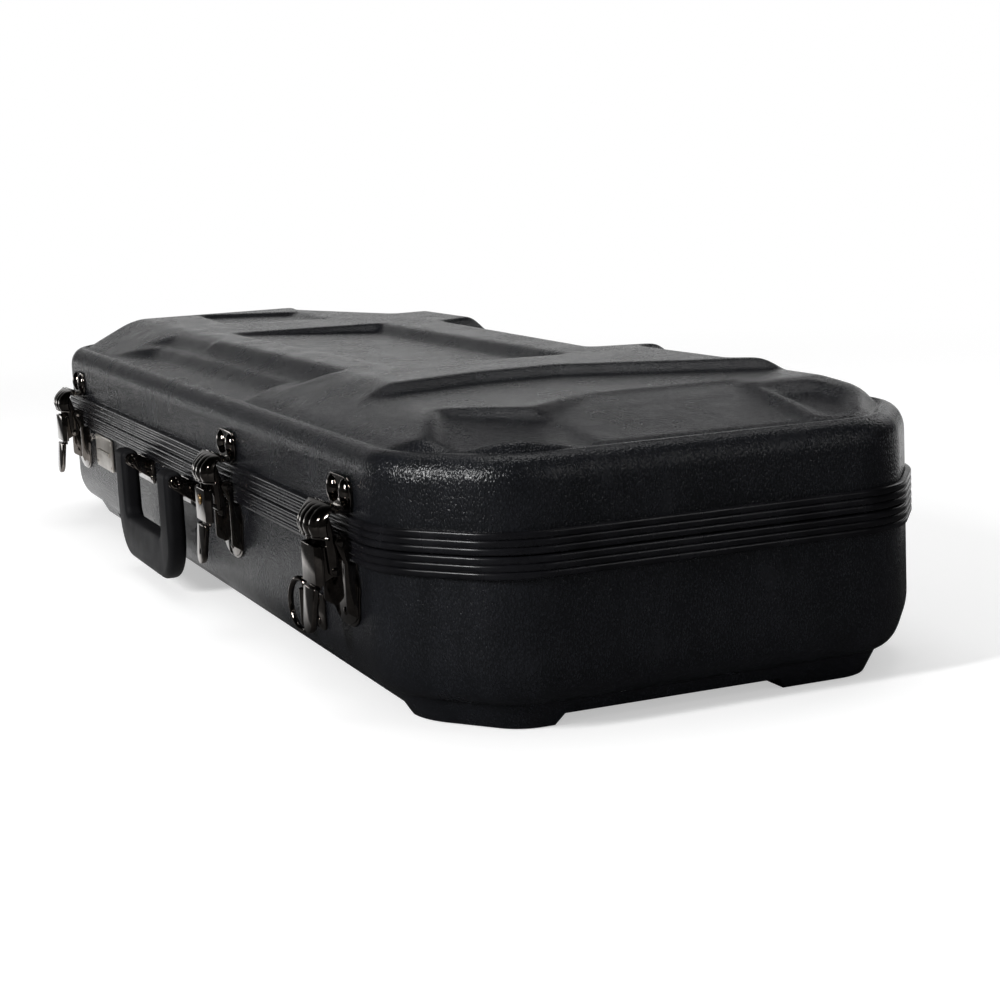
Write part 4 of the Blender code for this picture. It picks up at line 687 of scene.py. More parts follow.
@dataclass(frozen=True)
class CasePlan:
    """The case's outline from above, measured over the valances, and places set out from it."""

    length: float = 0.820
    width: float = 0.284
    chamfer_length: float = 0.055
    chamfer_width: float = 0.043
    long_radius: float = 0.060
    end_radius: float = 0.045
    parting: float = 0.083
    shift: float = 0.00495
    corner_steps: int = 12
    hinge_spread: float = 0.25994
    latch_spread: float = 0.30709
    centre_latch: float = 0.107994

    def front(self, x: float, reach: float, rise: float) -> Vector:
        """A point before the front valance's face, by its reach out and rise above the parting."""
        return Vector((x, self.shift - self.width / 2 - reach, self.parting + rise))

    def rear(self, x: float, reach: float, rise: float) -> Vector:
        """A point behind the rear valance's face, by its reach out and rise above the parting."""
        return Vector((x, self.shift + self.width / 2 + reach, self.parting + rise))

    def normals(self) -> tuple[float, float]:
        """The chamfer's outward normal in the first quarter of the plan."""
        size = hypot(self.chamfer_length, self.chamfer_width)
        return self.chamfer_width / size, self.chamfer_length / size

    def centres(self) -> tuple[tuple[float, float], tuple[float, float]]:
        """The centres of the end corner's arc and of the long corner's, in the first quarter."""
        across, up = self.normals()
        half_length, half_width = self.length / 2, self.width / 2
        chamfer = across * half_length + up * (half_width - self.chamfer_width)
        end_x = half_length - self.end_radius
        end_y = (chamfer - self.end_radius - across * end_x) / up
        long_y = half_width - self.long_radius
        long_x = (chamfer - self.long_radius - up * long_y) / across
        return (end_x, end_y), (long_x, long_y)

    def quarter(self, inset: float, spacing: float = 0) -> list[tuple[float, float, float, float]]:
        """The outline's first quarter, from the end round to the long side.

        Args:
            inset: How far the outline is moved in.
            spacing: Distance of points along the chamfer, which has none where this is 0.

        Returns:
            Points as x, y and the outward normal there, without the frame's shift.
        """
        across, up = self.normals()
        slant = atan2(up, across)
        end, long = self.centres()
        points = []
        for centre, radius, start, stop in (
            (end, self.end_radius - inset, 0.0, slant),
            (long, self.long_radius - inset, slant, pi / 2),
        ):
            if points and spacing:
                last = points[-1]
                target = (centre[0] + radius * cos(start), centre[1] + radius * sin(start))
                gaps = max(1, round(hypot(target[0] - last[0], target[1] - last[1]) / spacing))
                for gap in range(1, gaps):
                    share = gap / gaps
                    points.append((
                        last[0] + (target[0] - last[0]) * share,
                        last[1] + (target[1] - last[1]) * share, across, up,
                    ))
            for step in range(self.corner_steps + 1):
                angle = start + (stop - start) * step / self.corner_steps
                points.append((
                    centre[0] + radius * cos(angle), centre[1] + radius * sin(angle), cos(angle), sin(angle)
                ))
        return points

    def ring(self, inset: float, rise: float) -> list[Vector]:
        """The whole outline moved in by an inset, anticlockwise, at a rise above the parting."""
        first = [(x, y) for x, y, _, _ in self.quarter(inset)]
        second = [(-x, y) for x, y in reversed(first)]
        rear = first + second
        front = [(x, -y) for x, y in reversed(rear)]
        return [Vector((x, y + self.shift, self.parting + rise)) for x, y in rear + front]

    def inset_of(self, x: np.ndarray, y: np.ndarray) -> np.ndarray:
        """How far points of the plan lie inside the outline, the frame's shift left out."""
        across, up = self.normals()
        half_length, half_width = self.length / 2, self.width / 2
        ax, ay = np.abs(x), np.abs(y)
        chamfer = across * half_length + up * (half_width - self.chamfer_width)
        depth = np.minimum.reduce([half_length - ax, half_width - ay, chamfer - across * ax - up * ay])
        (ex, ey), (lx, ly) = self.centres()
        for cx, cy, radius, low, high in (
            (ex, ey, self.end_radius, (1.0, 0.0), (across, up)),
            (lx, ly, self.long_radius, (across, up), (0.0, 1.0)),
        ):
            dx, dy = ax - cx, ay - cy
            sector = (low[0] * dy - low[1] * dx >= 0) & (dx * high[1] - dy * high[0] >= 0)
            depth = np.where(sector, radius - np.hypot(dx, dy), depth)
        return depth


PLAN = CasePlan()


# Shells and valances


@dataclass
class BaseShell:
    """The lower shell: straight walls, a round lower edge, a plinth and four feet."""

    rim: float = -0.0036
    wall: float = 0.003
    inset: float = 0.003
    bend_width: float = 0.0125
    bend_height: float = 0.0210
    bend_turn: float = radians(80)
    bend_steps: int = 12
    plinth_height: float = 0.0130
    plinth_ledge: float = 0.0025
    plinth_draft: float = 0.0062
    ledge_drop: float = 0.0005
    foot_height: float = 0.006
    near_foot: float = 0.078
    far_foot: float = 0.120
    front_foot: float = 0.074
    rear_foot: float = 0.100
    foot_flare: float = 0.007

    def profile(self) -> Outline:
        """The outer profile from the rim down to the foot, as (inset, rise)."""
        ledge = self.plinth_height - PLAN.parting
        bend_top = ledge + self.ledge_drop + self.bend_height * sin(self.bend_turn)
        line = [(self.inset, self.rim), (self.inset, (self.rim + bend_top) / 2)]
        for turn in np.linspace(0, self.bend_turn, self.bend_steps + 1):
            across = self.inset + self.bend_width * (1 - cos(turn))
            line.append((across, bend_top - self.bend_height * sin(turn)))
        edge = line[-1][0] + self.plinth_ledge
        line += [(edge - 0.0009, ledge + 0.0002), (edge - 0.0003, ledge - 0.0002), (edge, ledge - 0.0010)]
        foot = edge + self.plinth_draft
        line += [(foot - 0.0008, 0.0016 - PLAN.parting), (foot - 0.0001, 0.0004 - PLAN.parting)]
        line.append((foot + 0.0012, -PLAN.parting))
        return line

    def build(self) -> None:
        """Skins the shell, cuts the gaps between its feet and dresses it."""
        outer = self.profile()
        floor = self.foot_height + self.wall - PLAN.parting
        inner = [(across + self.wall, rise) for across, rise in outer[:-6] if rise > floor + 0.004]
        inner.append((outer[-6][0] + 0.004, floor))
        rings = [PLAN.ring(across, rise) for across, rise in outer[::-1] + inner]
        form = Form().band(rings)
        half_length, half_width = PLAN.length / 2, PLAN.width / 2
        left, right = self.far_foot - half_length, half_length - self.near_foot
        low, high = self.front_foot - half_width, half_width - self.rear_foot
        form.cut(self.foot_gap(left, right, -PLAN.length, PLAN.length))
        form.cut(self.foot_gap(-PLAN.length, PLAN.length, low, high))
        bmesh.ops.dissolve_degenerate(form.bm, edges=form.bm.edges, dist=1e-6)
        form.finish("moulded_base_shell", SHELL, Body.BASE, "base_shell")

    def foot_gap(self, left: float, right: float, low: float, high: float) -> Form:
        """A gap between feet with flared sides, by its sides at the top."""
        rings = []
        for rise, grow in ((-0.004, self.foot_flare), (self.foot_height, 0.0)):
            outline = rectangle(left - grow, right + grow, low - grow, high + grow)
            rings.append([Vector((x, y + PLAN.shift, rise)) for x, y in outline])
        return Form().band(rings)


@dataclass
class Valances:
    """The two black extrusions that meet at the parting, each with three round flutes."""

    height: float = 0.0105
    gap: float = 0.0003
    depth: float = 0.0008
    flutes: int = 3
    web: float = 0.0030
    leg: float = 0.0015
    leg_height: float = 0.0085
    inset: float = 0.003
    wall: float = 0.003
    tongue: float = 0.0016
    tongue_half: float = 0.00075
    play: float = 0.0006
    slack: float = 0.0003

    def face(self) -> Outline:
        """The fluted face from the parting outwards, as (inset, distance)."""
        pitch = (self.height - self.gap) / self.flutes
        ridge = (
            (0.00, 1.00), (0.05, 0.62), (0.12, 0.28), (0.21, 0.08), (0.34, 0.0), (0.50, -0.04),
            (0.66, 0.0), (0.79, 0.08), (0.88, 0.28), (0.95, 0.62),
        )
        line = [
            (self.depth * deep, self.gap + pitch * (flute + along))
            for flute in range(self.flutes) for along, deep in ridge
        ]
        return line + [(self.depth, self.height)]

    def back(self) -> Outline:
        """The slot for the shell's wall and the inner leg, as (inset, distance)."""
        slot, outer = self.gap + self.web, self.inset - self.slack
        inner = self.inset + self.wall + self.slack
        leg = inner + self.leg
        return [
            (outer, self.height), (outer, slot), (inner, slot),
            (inner, self.leg_height), (inner + 0.0004, self.leg_height + 0.0003),
            (leg - 0.0003, self.leg_height + 0.0002), (leg, self.leg_height - 0.0003), (leg, self.gap),
        ]

    def build(self) -> None:
        """Skins both extrusions: a tongue on the lower one, a groove in the upper one."""
        middle = self.inset + self.wall / 2
        half = self.tongue_half
        tongue = [
            (middle + half, -self.gap), (middle + half - 0.0002, self.tongue),
            (middle - half + 0.0002, self.tongue), (middle - half, -self.gap),
        ]
        lower = [(across, -rise) for across, rise in self.face() + self.back()] + tongue
        half += self.play
        groove = [
            (middle + half, self.gap), (middle + half, self.tongue + self.play),
            (middle - half, self.tongue + self.play), (middle - half, self.gap),
        ]
        upper = self.face() + self.back() + groove
        for name, line, body, node in (
            ("fluted_base_valance", lower, Body.BASE, "base_valance"),
            ("fluted_lid_valance", upper, Body.LID, "lid_valance"),
        ):
            rings = [PLAN.ring(across, rise) for across, rise in line]
            Form().band(rings, closed=True).finish(name, VALANCE, body, node)


@dataclass(frozen=True)
class Recess:
    """A flared recess in the lid, set out in shares of the case's half length and half width."""

    corners: Outline
    rises: tuple[float, float, float]

    def height(
        self, x: np.ndarray, y: np.ndarray, low: float, top: float, flare: float, soft: float
    ) -> np.ndarray:
        """The recess's floor and flared walls as a height over the plan.

        Args:
            x: Places along the case.
            y: Places across it.
            low: The rise of the ledge, at a share of 0.
            top: The rise of the raised body, at a share of 1.
            flare: How far a wall leans out for each metre that it climbs.
            soft: The reach of the fillet between floor and wall.

        Returns:
            Rises above the parting.
        """
        plan = [Vector((a * PLAN.length / 2, b * PLAN.width / 2)) for a, b in self.corners]
        points = [Vector((*p, low + (top - low) * rise)) for p, rise in zip(plan, self.rises)]
        up = (points[1] - points[0]).cross(points[2] - points[0])
        slope_x, slope_y = -up.x / up.z, -up.y / up.z
        first = points[0]
        floor = first.z + slope_x * (x - first.x) + slope_y * (y - first.y)
        height = floor
        for start, end in zip(plan, plan[1:] + plan[:1]):
            along = (end - start).normalized()
            outside = (x - start.x) * along.y - (y - start.y) * along.x
            lean = 1 / flare - (slope_x * along.y - slope_y * along.x)
            height = smooth_max(height, floor + outside * lean, soft)
        return height


def smooth_max(a: np.ndarray, b: np.ndarray, reach: float) -> np.ndarray:
    """The higher of two heights, with a fillet where they cross."""
    near = np.maximum(reach - np.abs(a - b), 0) / reach
    return np.maximum(a, b) + near * near * reach / 4


def smooth_min(a: np.ndarray, b: np.ndarray, reach: float) -> np.ndarray:
    """The lower of two heights, with a rounding where they cross."""
    return -smooth_max(-a, -b, reach)


@dataclass
class LidShell:
    """The upper shell: upright walls, a round shoulder and a top sculpted by flared recesses."""

    rim: float = 0.0036
    inset: float = 0.003
    wall: float = 0.003
    wall_height: float = 0.0300
    shoulder_width: float = 0.0100
    shoulder_height: float = 0.0120
    shoulder_steps: int = 10
    ledge: float = 0.0030
    top: float = 0.059
    slope_width: float = 0.0130
    slope_drop: float = 0.0015
    lip: float = 0.0008
    ceiling: float = 0.0387
    ceiling_inset: float = 0.0078
    flare: float = 0.85
    spacing: float = 0.0019
    rows: int = 140
    soft_floor: float = 0.0036
    soft_edge: float = 0.0034
    relaxing: int = 7

    recesses = tuple(Recess(corners, rises) for rises, corners in (
        ((0.7, 0.7, 0.7), [(1.1, 1.1), (0.74, 1.1), (0.525, 0.1), (0.525, -0.2), (0.62, -1.1), (1.1, -1.1)]),
        ((0.04, 0.04, 0.68), [(0.963, -0.42), (0.963, 0.42), (0.74, 0.49), (0.74, -0.05), (0.835, -0.4)]),
        ((0.04, 0.04, 0.42), [(0.905, -0.8), (0.966, -0.33), (0.835, -0.34), (0.755, -0.62)]),
        ((0.04, 0.04, 1.0), [(0.0, -0.895), (0.9, -0.895), (0.86, -0.6), (0.0, -0.55)]),
        ((0.06, 0.7, 0.7), [(0.37, 0.895), (0.37, 0.72), (0.6, 0.74), (0.62, 0.895)]),
        ((0.06, 0.06, 0.74), [(0.975, 0.4), (0.975, 1.1), (0.78, 1.1), (0.78, 0.4)]),
        ((0.04, 0.04, 0.22), [(0.945, 0.515), (0.945, 0.6), (0.865, 0.7), (0.81, 0.68), (0.81, 0.545)]),
        ((0.04, 0.04, 0.14), [(-0.62, -0.88), (0.24, -0.905), (0.23, -0.73), (-0.5, -0.76)]),
        ((0.52, 0.52, 0.52), [(-0.7, -0.87), (0.28, -0.905), (0.315, -0.605), (-0.525, -0.655)]),
        ((0.3, 0.3, 0.3), [(0.325, 0.905), (-0.35, 0.905), (-0.31, 0.66), (0.295, 0.6)]),
        ((0.9, 0.9, 0.68), [(-0.4, -0.4), (0.345, -0.36), (0.37, 0.28), (-0.36, 0.27)]),
        ((0.04, 0.04, 1.0), [(-1.0, -0.865), (-0.3, -0.875), (-0.3, -0.56), (-1.0, -0.53)]),
        ((0.06, 0.06, 0.3), [(-0.62, 0.92), (-0.9, 0.72), (-0.965, 0.44), (-0.86, 0.38), (-0.6, 0.64)]),
        ((0.84, 0.84, 0.84), [(-0.89, -0.2), (-0.66, -0.25), (-0.58, 0.2), (-0.79, 0.22)]),
    ))

    def height(self, x: np.ndarray, y: np.ndarray) -> np.ndarray:
        """The lid's top over the plan: a chamfered body with the recesses pressed into it."""
        low = self.wall_height + self.shoulder_height
        start = self.inset + self.shoulder_width + self.ledge
        slope = (self.top - self.slope_drop - low) / self.slope_width
        climb = low + (PLAN.inset_of(x, y) - start) * slope
        height = smooth_min(climb, np.full_like(x, self.top), self.soft_edge)
        for recess in self.recesses:
            pressed = recess.height(x, y, low, self.top, self.flare, self.soft_floor)
            height = smooth_min(height, pressed, self.soft_edge)
        return np.maximum(height, low)

    def relaxed(self, rise: np.ndarray) -> np.ndarray:
        """The rises with their creases drawn soft, as a hot sheet bridges the tool's corners."""
        rise[[0, -1], :] = rise[:, [0, -1]] = self.wall_height + self.shoulder_height
        for _ in range(self.relaxing):
            around = rise[2:, 1:-1] + rise[:-2, 1:-1] + rise[1:-1, 2:] + rise[1:-1, :-2]
            rise[1:-1, 1:-1] = rise[1:-1, 1:-1] / 2 + around / 8
        return rise

    def stations(self, inset: float) -> list[tuple[float, float, float, float]]:
        """Points of the outline from one end of the rear side to the other, with normals."""
        quarter = PLAN.quarter(inset, self.spacing)
        half = quarter[-1][0]
        gaps = round(half / self.spacing)
        straight = [(half * (1 - gap / gaps), quarter[-1][1], 0.0, 1.0) for gap in range(1, gaps)]
        first = quarter + straight
        middle = [(0.0, quarter[-1][1], 0.0, 1.0)]
        return first + middle + [(-x, y, -nx, ny) for x, y, nx, ny in reversed(first)]

    def build(self) -> None:
        """Presses the top from a grid, draws the walls down from its edge and dresses the shell."""
        low = self.wall_height + self.shoulder_height
        start = self.inset + self.shoulder_width + self.ledge
        stations = self.stations(start)
        part = bmesh.new()
        bmesh.ops.create_grid(part, x_segments=len(stations) - 1, y_segments=self.rows, size=0.5)
        outward = part.verts.layers.float_vector.new("outward")
        seat = part.verts.layers.float_vector.new("seat")
        last = len(stations) - 1
        x = np.repeat([[station[0]] for station in stations], self.rows + 1, axis=1)
        half = np.array([[station[1]] for station in stations])
        y = half * np.linspace(-1, 1, self.rows + 1)
        rise = self.relaxed(self.height(x, y))
        for vert in list(part.verts):
            column = round((0.5 - vert.co.x) * last)
            row = round((0.5 + vert.co.y) * self.rows)
            there = Vector((x[column, row], y[column, row] + PLAN.shift, 0))
            _, _, nx, ny = stations[column]
            if column in (0, last):
                nx, ny = (1.0 if column == 0 else -1.0), 0.0
            vert[outward] = Vector((nx, ny if 2 * row > self.rows else -ny, 0))
            vert[seat] = there
            vert.co = there + Vector((0, 0, PLAN.parting + rise[column, row]))
        edges = [edge for edge in part.edges if edge.is_boundary]
        for edge in edges:
            for vert in edge.verts:
                vert.co.z = PLAN.parting + low
        for across, height in self.walls():
            grown = bmesh.ops.extrude_edge_only(part, edges=edges)["geom"]
            for vert in points_of(grown):
                vert.co = vert[seat] + vert[outward] * (start - across)
                vert.co.z = PLAN.parting + height
            edges = [item for item in grown if isinstance(item, bmesh.types.BMEdge) and item.is_boundary]
        bmesh.ops.edgeloop_fill(part, edges=edges)
        form = Form().take(part)
        form.finish("sculpted_lid_shell", SHELL, Body.LID, "lid_shell", sharp=radians(50))

    def walls(self) -> Outline:
        """The profile from the ledge down over the shoulder, round the rim and up inside."""
        low = self.wall_height + self.shoulder_height
        crest = self.inset + self.shoulder_width
        line = [
            (crest + self.ledge * 0.75, low - 0.0002), (crest + self.ledge * 0.45, low),
            (crest + self.ledge * 0.20, low + self.lip * 0.55),
        ]
        for turn in np.linspace(pi / 2, 0, self.shoulder_steps + 1):
            line.append((
                self.inset + self.shoulder_width * (1 - cos(turn)),
                self.wall_height + (self.shoulder_height + self.lip) * sin(turn),
            ))
        line += [(self.inset, self.wall_height * 0.5), (self.inset, self.rim)]
        inner = self.inset + self.wall
        line += [(inner, self.rim), (inner, self.wall_height)]
        return line + [(inner + self.ceiling_inset, self.ceiling)]


# Hinges


def sleeve(radius: float, bore: float, length: float, edge: float = 0.0004) -> Outline:
    """The profile of a rolled tube with rounded ends, as (radius, distance)."""
    return [
        (bore, 0), (radius - edge, 0), (radius, edge), (radius, length - edge),
        (radius - edge, length), (bore, length), (bore, 0),
    ]


@dataclass
class ButtHinge:
    """A rear butt hinge: two joggled leaves, three rolled knuckles and a headed pin."""

    index: int
    x: float
    width: float = 0.040
    offset: float = 0.005
    leaf: float = 0.0015
    drop: float = 0.030
    start: float = 0.0020
    joggle_top: float = 0.0108
    joggle: float = 0.0012
    shell: float = -0.0027
    radius: float = 0.0034
    bore: float = 0.0018
    web: float = 0.0050
    gap: float = 0.0005
    rivet: tuple[float, float] = (0.0023, 0.0010)
    rivet_spread: float = 0.0135
    rivet_rises: tuple[float, float] = (0.0165, 0.0252)
    pin_radius: float = 0.0015
    head_radius: float = 0.0024

    def strip(self, sign: int) -> Outline:
        """A leaf's section as (reach, rise): over the valance, then down on the shell's wall."""
        outside = self.shell + self.leaf
        inner = [
            (0.0003, self.start), (0.0003, self.joggle_top),
            (self.shell, self.joggle_top + self.joggle), (self.shell, self.drop),
        ]
        outer = [
            (0.0018, self.start), (0.0018, self.joggle_top + 0.0004),
            (outside, self.joggle_top + self.joggle + 0.0005), (outside, self.drop),
        ]
        return [(reach, sign * rise) for reach, rise in inner + outer[::-1]]

    def build(self) -> None:
        """Makes both leaves with their knuckles and rivets, and the pin."""
        left, third, half_gap = self.x - self.width / 2, self.width / 3, self.gap / 2
        spans = {
            -1: [(left, left + third - half_gap), (left + 2 * third + half_gap, left + self.width)],
            1: [(left + third + half_gap, left + 2 * third - half_gap)],
        }
        for sign, body in ((-1, Body.BASE), (1, Body.LID)):
            form = Form()
            outline = [PLAN.rear(left, reach, rise) for reach, rise in self.strip(sign)]
            form.slab(outline, Vector((self.width, 0, 0)), 0.0004)
            for begin, end in spans[sign]:
                profile = sleeve(self.radius, self.bore, end - begin)
                form.turned(PLAN.rear(begin, self.offset, 0), ALONG, profile, 28)
                web = [
                    (self.offset, self.radius - 0.0016), (self.offset, self.radius - 0.0002),
                    (0.0018, self.web), (0.0003, self.web),
                ]
                outline = [PLAN.rear(begin, reach, sign * rise) for reach, rise in web]
                form.slab(outline, Vector((end - begin, 0, 0)), 0.0003)
            for across in (-self.rivet_spread, 0.0, self.rivet_spread):
                for rise in self.rivet_rises[0 if across else 1:]:
                    place = PLAN.rear(self.x + across, self.shell + self.leaf, sign * rise)
                    form.rivet(place, -OUT, *self.rivet)
            form.finish(f"hinge_{body}_{self.index}", NICKEL, body, f"hinge_{body}_leaf_{self.index}")
        reach, head = self.width + 0.0006, self.head_radius
        profile = [
            (0, -0.0008), (0.0018, -0.0008), (head, -0.0003), (head, 0), (self.pin_radius, 0),
            (self.pin_radius, reach), (head, reach), (head, reach + 0.0003), (0.0018, reach + 0.0008),
            (0, reach + 0.0008),
        ]
        pin = Form().turned(PLAN.rear(left - 0.0003, self.offset, 0), ALONG, profile)
        pin.finish(f"hinge_rod_{self.index}", NICKEL, Body.BASE, f"hinge_pin_{self.index}")


# Draw latches


@dataclass
class DrawLatch:
    """A draw latch: base plate with ears, bevelled lever, ribbed hook, pins and keeper."""

    side: Side
    x: float
    plate: float = -0.0027
    sheet: float = 0.0015
    sunk: float = 0.0008
    rivet: tuple[float, float] = (0.0021, 0.0010)
    rivet_spread: float = 0.0105
    tray_half: float = 0.0180
    tray_top: float = -0.0108
    tray_bottom: float = -0.0430
    layer: float = 0.0008
    crest: float = 0.0035
    ear: float = 0.0177
    ear_radius: float = 0.0033
    pivot: tuple[float, float] = (0.0042, -0.0005)
    hook_pin: tuple[float, float] = (0.0072, -0.0140)
    shank: float = 0.0013
    hook_grip: float = 0.0312
    face: float = 0.0155
    lever_half: float = 0.0135
    face_half: float = 0.0100
    bevel_depth: float = 0.0025
    lever_wall: float = 0.0013
    lever_top: float = -0.0026
    lever_bottom: float = -0.0208
    tab_top: float = -0.0226
    tab_bottom: float = -0.0450
    tab_half: float = 0.0085
    tab_lean: float = 0.0022
    tip_half: float = 0.0072
    lock_rise: float = -0.0087
    dome_half: float = 0.0180
    dome_reach: float = 0.0176
    dome_bottom: float = 0.0016
    tip_reach: float = 0.0074
    tip_rise: float = 0.0164
    ribs: int = 5
    rib_depth: float = 0.0008
    cheek: float = 0.0156
    eye_radius: float = 0.0027
    lobe_spread: float = 0.0092
    lobe_rise: float = 0.0208
    lobe_size: tuple[float, float, float] = (0.0054, 0.0034, 0.0068)

    tray_shares = (
        (0.00, 1.00), (0.16, 1.02), (0.36, 1.14), (0.56, 1.05), (0.78, 1.00), (0.92, 0.78), (1.00, 0.40)
    )
    dome_shares = ((0.86, 0.00), (1.00, 0.30), (0.86, 0.62), (0.46, 0.88), (0.00, 1.00))

    def at(self, across: float, reach: float, rise: float) -> Vector:
        """A point of the latch, by its place across it, reach and rise."""
        return PLAN.front(self.x + across, reach, rise)

    def curve(self, shares: Sequence[tuple[float, float]], steps: int) -> Outline:
        """A smooth line through a row of share pairs."""
        line: Outline = []
        count = len(shares)
        for index in range(count - 1):
            a, b = shares[max(index - 1, 0)], shares[index]
            c, d = shares[index + 1], shares[min(index + 2, count - 1)]
            for step in range(steps):
                t = step / steps
                line.append(tuple(
                    0.5 * (2 * q + (r - p) * t + (2 * p - 5 * q + 4 * r - s) * t * t
                           + (3 * q - p - 3 * r + s) * t ** 3)
                    for p, q, r, s in zip(a, b, c, d)
                ))
        return line + [tuple(shares[-1])]

    def build(self) -> None:
        """Makes the latch's pieces."""
        self.base()
        self.lever()
        self.hook()
        self.pins()
        self.keeper()

    def base(self) -> None:
        """The wavy base plate in two layers, with side walls that rise into ears."""
        form = Form()
        height = self.tray_bottom - self.tray_top
        line = self.curve(self.tray_shares, 5)
        for shrink, reach, edge in ((0.0, self.plate, 0.0003), (0.0011, self.plate + 0.0007, 0.0004)):
            right = [
                (self.tray_half * wide - shrink, self.tray_top + (height + shrink) * down)
                for down, wide in line
            ]
            left = [(-across, rise) for across, rise in reversed(right)]
            form.plate(right + left, self.x, reach, self.layer, edge)
        seat, crest = self.plate + self.sunk, self.crest
        foot = self.tray_bottom + 0.005
        slope = [
            (seat + (crest - seat) * (0.5 - 0.5 * cos(pi * share)), foot + 0.0050 * share)
            for share in (0.2, 0.4, 0.6, 0.8, 1.0)
        ]
        wall = [
            (seat, foot), *slope, (crest, self.tray_top), *arc(self.pivot, self.ear_radius, 0, pi, 12),
            (self.pivot[0] - self.ear_radius, self.tray_top), (seat, self.tray_top - 0.0003),
        ]
        for sign in (-1, 1):
            form.cheek(wall, self.x + sign * self.ear, -sign * self.sheet, 0.0004)
        upper = self.tray_top - 0.004
        spots = ((0.0, self.tray_bottom + 0.0065), (-self.rivet_spread, upper), (self.rivet_spread, upper))
        for across, rise in spots:
            form.rivet(self.at(across, self.plate + self.sheet, rise), OUT, *self.rivet)
        form.finish(f"latch_tray_{self.side}", NICKEL, Body.BASE, f"latch_base_{self.side}")

    def lever(self) -> None:
        """The lever's bevelled face, its two flanges and the finger tab."""
        edge = self.face - self.bevel_depth
        section = [
            (-self.lever_half, edge), (-self.face_half, self.face),
            (self.face_half, self.face), (self.lever_half, edge),
        ]
        section += [(across, reach - self.lever_wall) for across, reach in reversed(section)]
        points = [self.at(across, reach, self.lever_top) for across, reach in section]
        form = Form().slab(points, Vector((0, 0, self.lever_bottom - self.lever_top)), 0.0003)
        neck = rectangle(-0.0075, 0.0075, self.tab_top - 0.0012, self.lever_bottom + 0.0010)
        form.plate(neck, self.x, edge, -0.0012, 0.0003, 1)
        flange = [
            (edge, self.lever_top - 0.0013), *arc(self.pivot, 0.0030, radians(70), radians(120), 8),
            *arc(self.hook_pin, self.eye_radius, pi, pi / 2, 8), (edge, self.lever_bottom + 0.0013),
        ]
        for sign in (-1, 1):
            form.cheek(flange, self.x + sign * (self.lever_half - 0.0002), -sign * 0.0011, 0.0002, 1)
        self.tab(form)
        if self.side is Side.CENTRE:
            holes = Form()
            for rise, radius in ((self.lock_rise, 0.0033), (self.tab_bottom + self.tip_half, 0.0017)):
                bore = [(0, 0), (radius, 0), (radius, 0.012), (0, 0.012)]
                holes.turned(self.at(0, self.face + 0.006, rise), -OUT, bore)
            form.cut(holes)
        name = f"latch_lever_plate_{self.side}"
        form.finish(name, NICKEL, f"lever_{self.side}", f"latch_lever_{self.side}")

    def tab(self, form: Form) -> None:
        """The finger tab below a dark gap under the face, leaning out to a round tip."""
        top, tip = self.tab_top, self.tab_bottom + self.tip_half
        outline = [(self.tab_half, top), (-self.tab_half, top), *arc((0, tip), self.tip_half, pi, pi, 20)]
        reach, span = self.face + 0.0005, top - self.tab_bottom
        points = [
            self.at(across, reach + self.tab_lean * (top - rise) / span, rise) for across, rise in outline
        ]
        form.slab(points, Vector((0, 0.0030, 0)), 0.0009, 3)

    def dome(self, across: float, up: float) -> tuple[float, float]:
        """The hook's dome at a share across it and a share up it, as (reach, rise)."""
        smooth = self.curve(self.dome_shares, 8)
        out, high = smooth[round(up * (len(smooth) - 1))]
        fall = 0.0028 * across ** 2 + 0.0034 * across ** 6
        groove = 1 - sqrt(abs(cos(pi * self.ribs * (across + 1) / 2)))
        flute = self.rib_depth * groove * min(1, 3 * (1 - up))
        crown = self.dome_reach - self.tip_reach - fall - flute
        return self.tip_reach + crown * out, self.dome_bottom + (self.tip_rise - self.dome_bottom) * high

    def hook(self) -> None:
        """The ribbed dome with a rolled bead, and the two cheeks down to the hook's pin."""
        part = bmesh.new()
        bmesh.ops.create_grid(part, x_segments=70, y_segments=32, size=0.5)
        for vert in part.verts:
            across, up = 2 * vert.co.x, vert.co.y + 0.5
            vert.co = self.at(across * self.dome_half, *self.dome(across, up))
        bmesh.ops.recalc_face_normals(part, faces=part.faces)
        if sum(face.normal.y for face in part.faces) > 0:
            bmesh.ops.reverse_faces(part, faces=part.faces)
        bmesh.ops.solidify(part, geom=part.faces[:], thickness=self.sheet)
        form = Form().take(part)
        bottom = self.dome_bottom
        bead = [
            self.at(across * self.dome_half, self.dome(across, 0)[0] - 0.0006, bottom + 0.0003)
            for across in np.linspace(-1, 1, 41)
        ]
        form.tube(bead, 0.0010, 10)
        reach = self.dome(self.cheek / self.dome_half, 0)[0]
        back, middle = self.pivot[0] + 0.0019, self.pivot[1]
        outline = [
            *arc(self.hook_pin, self.eye_radius, pi, pi, 14),
            (reach - 0.0016, bottom + 0.0002), (reach - 0.0012, 0.0050), (reach - 0.0030, 0.0090),
            (0.0092, 0.0120), (back, middle + self.eye_radius), (back, middle - self.eye_radius),
        ]
        for sign in (-1, 1):
            form.cheek(outline, self.x + sign * self.cheek, -sign * 0.0013, 0.0003)
        name = f"latch_dome_{self.side}"
        form.finish(name, NICKEL, f"hook_{self.side}", f"latch_hook_{self.side}", sharp=radians(48))

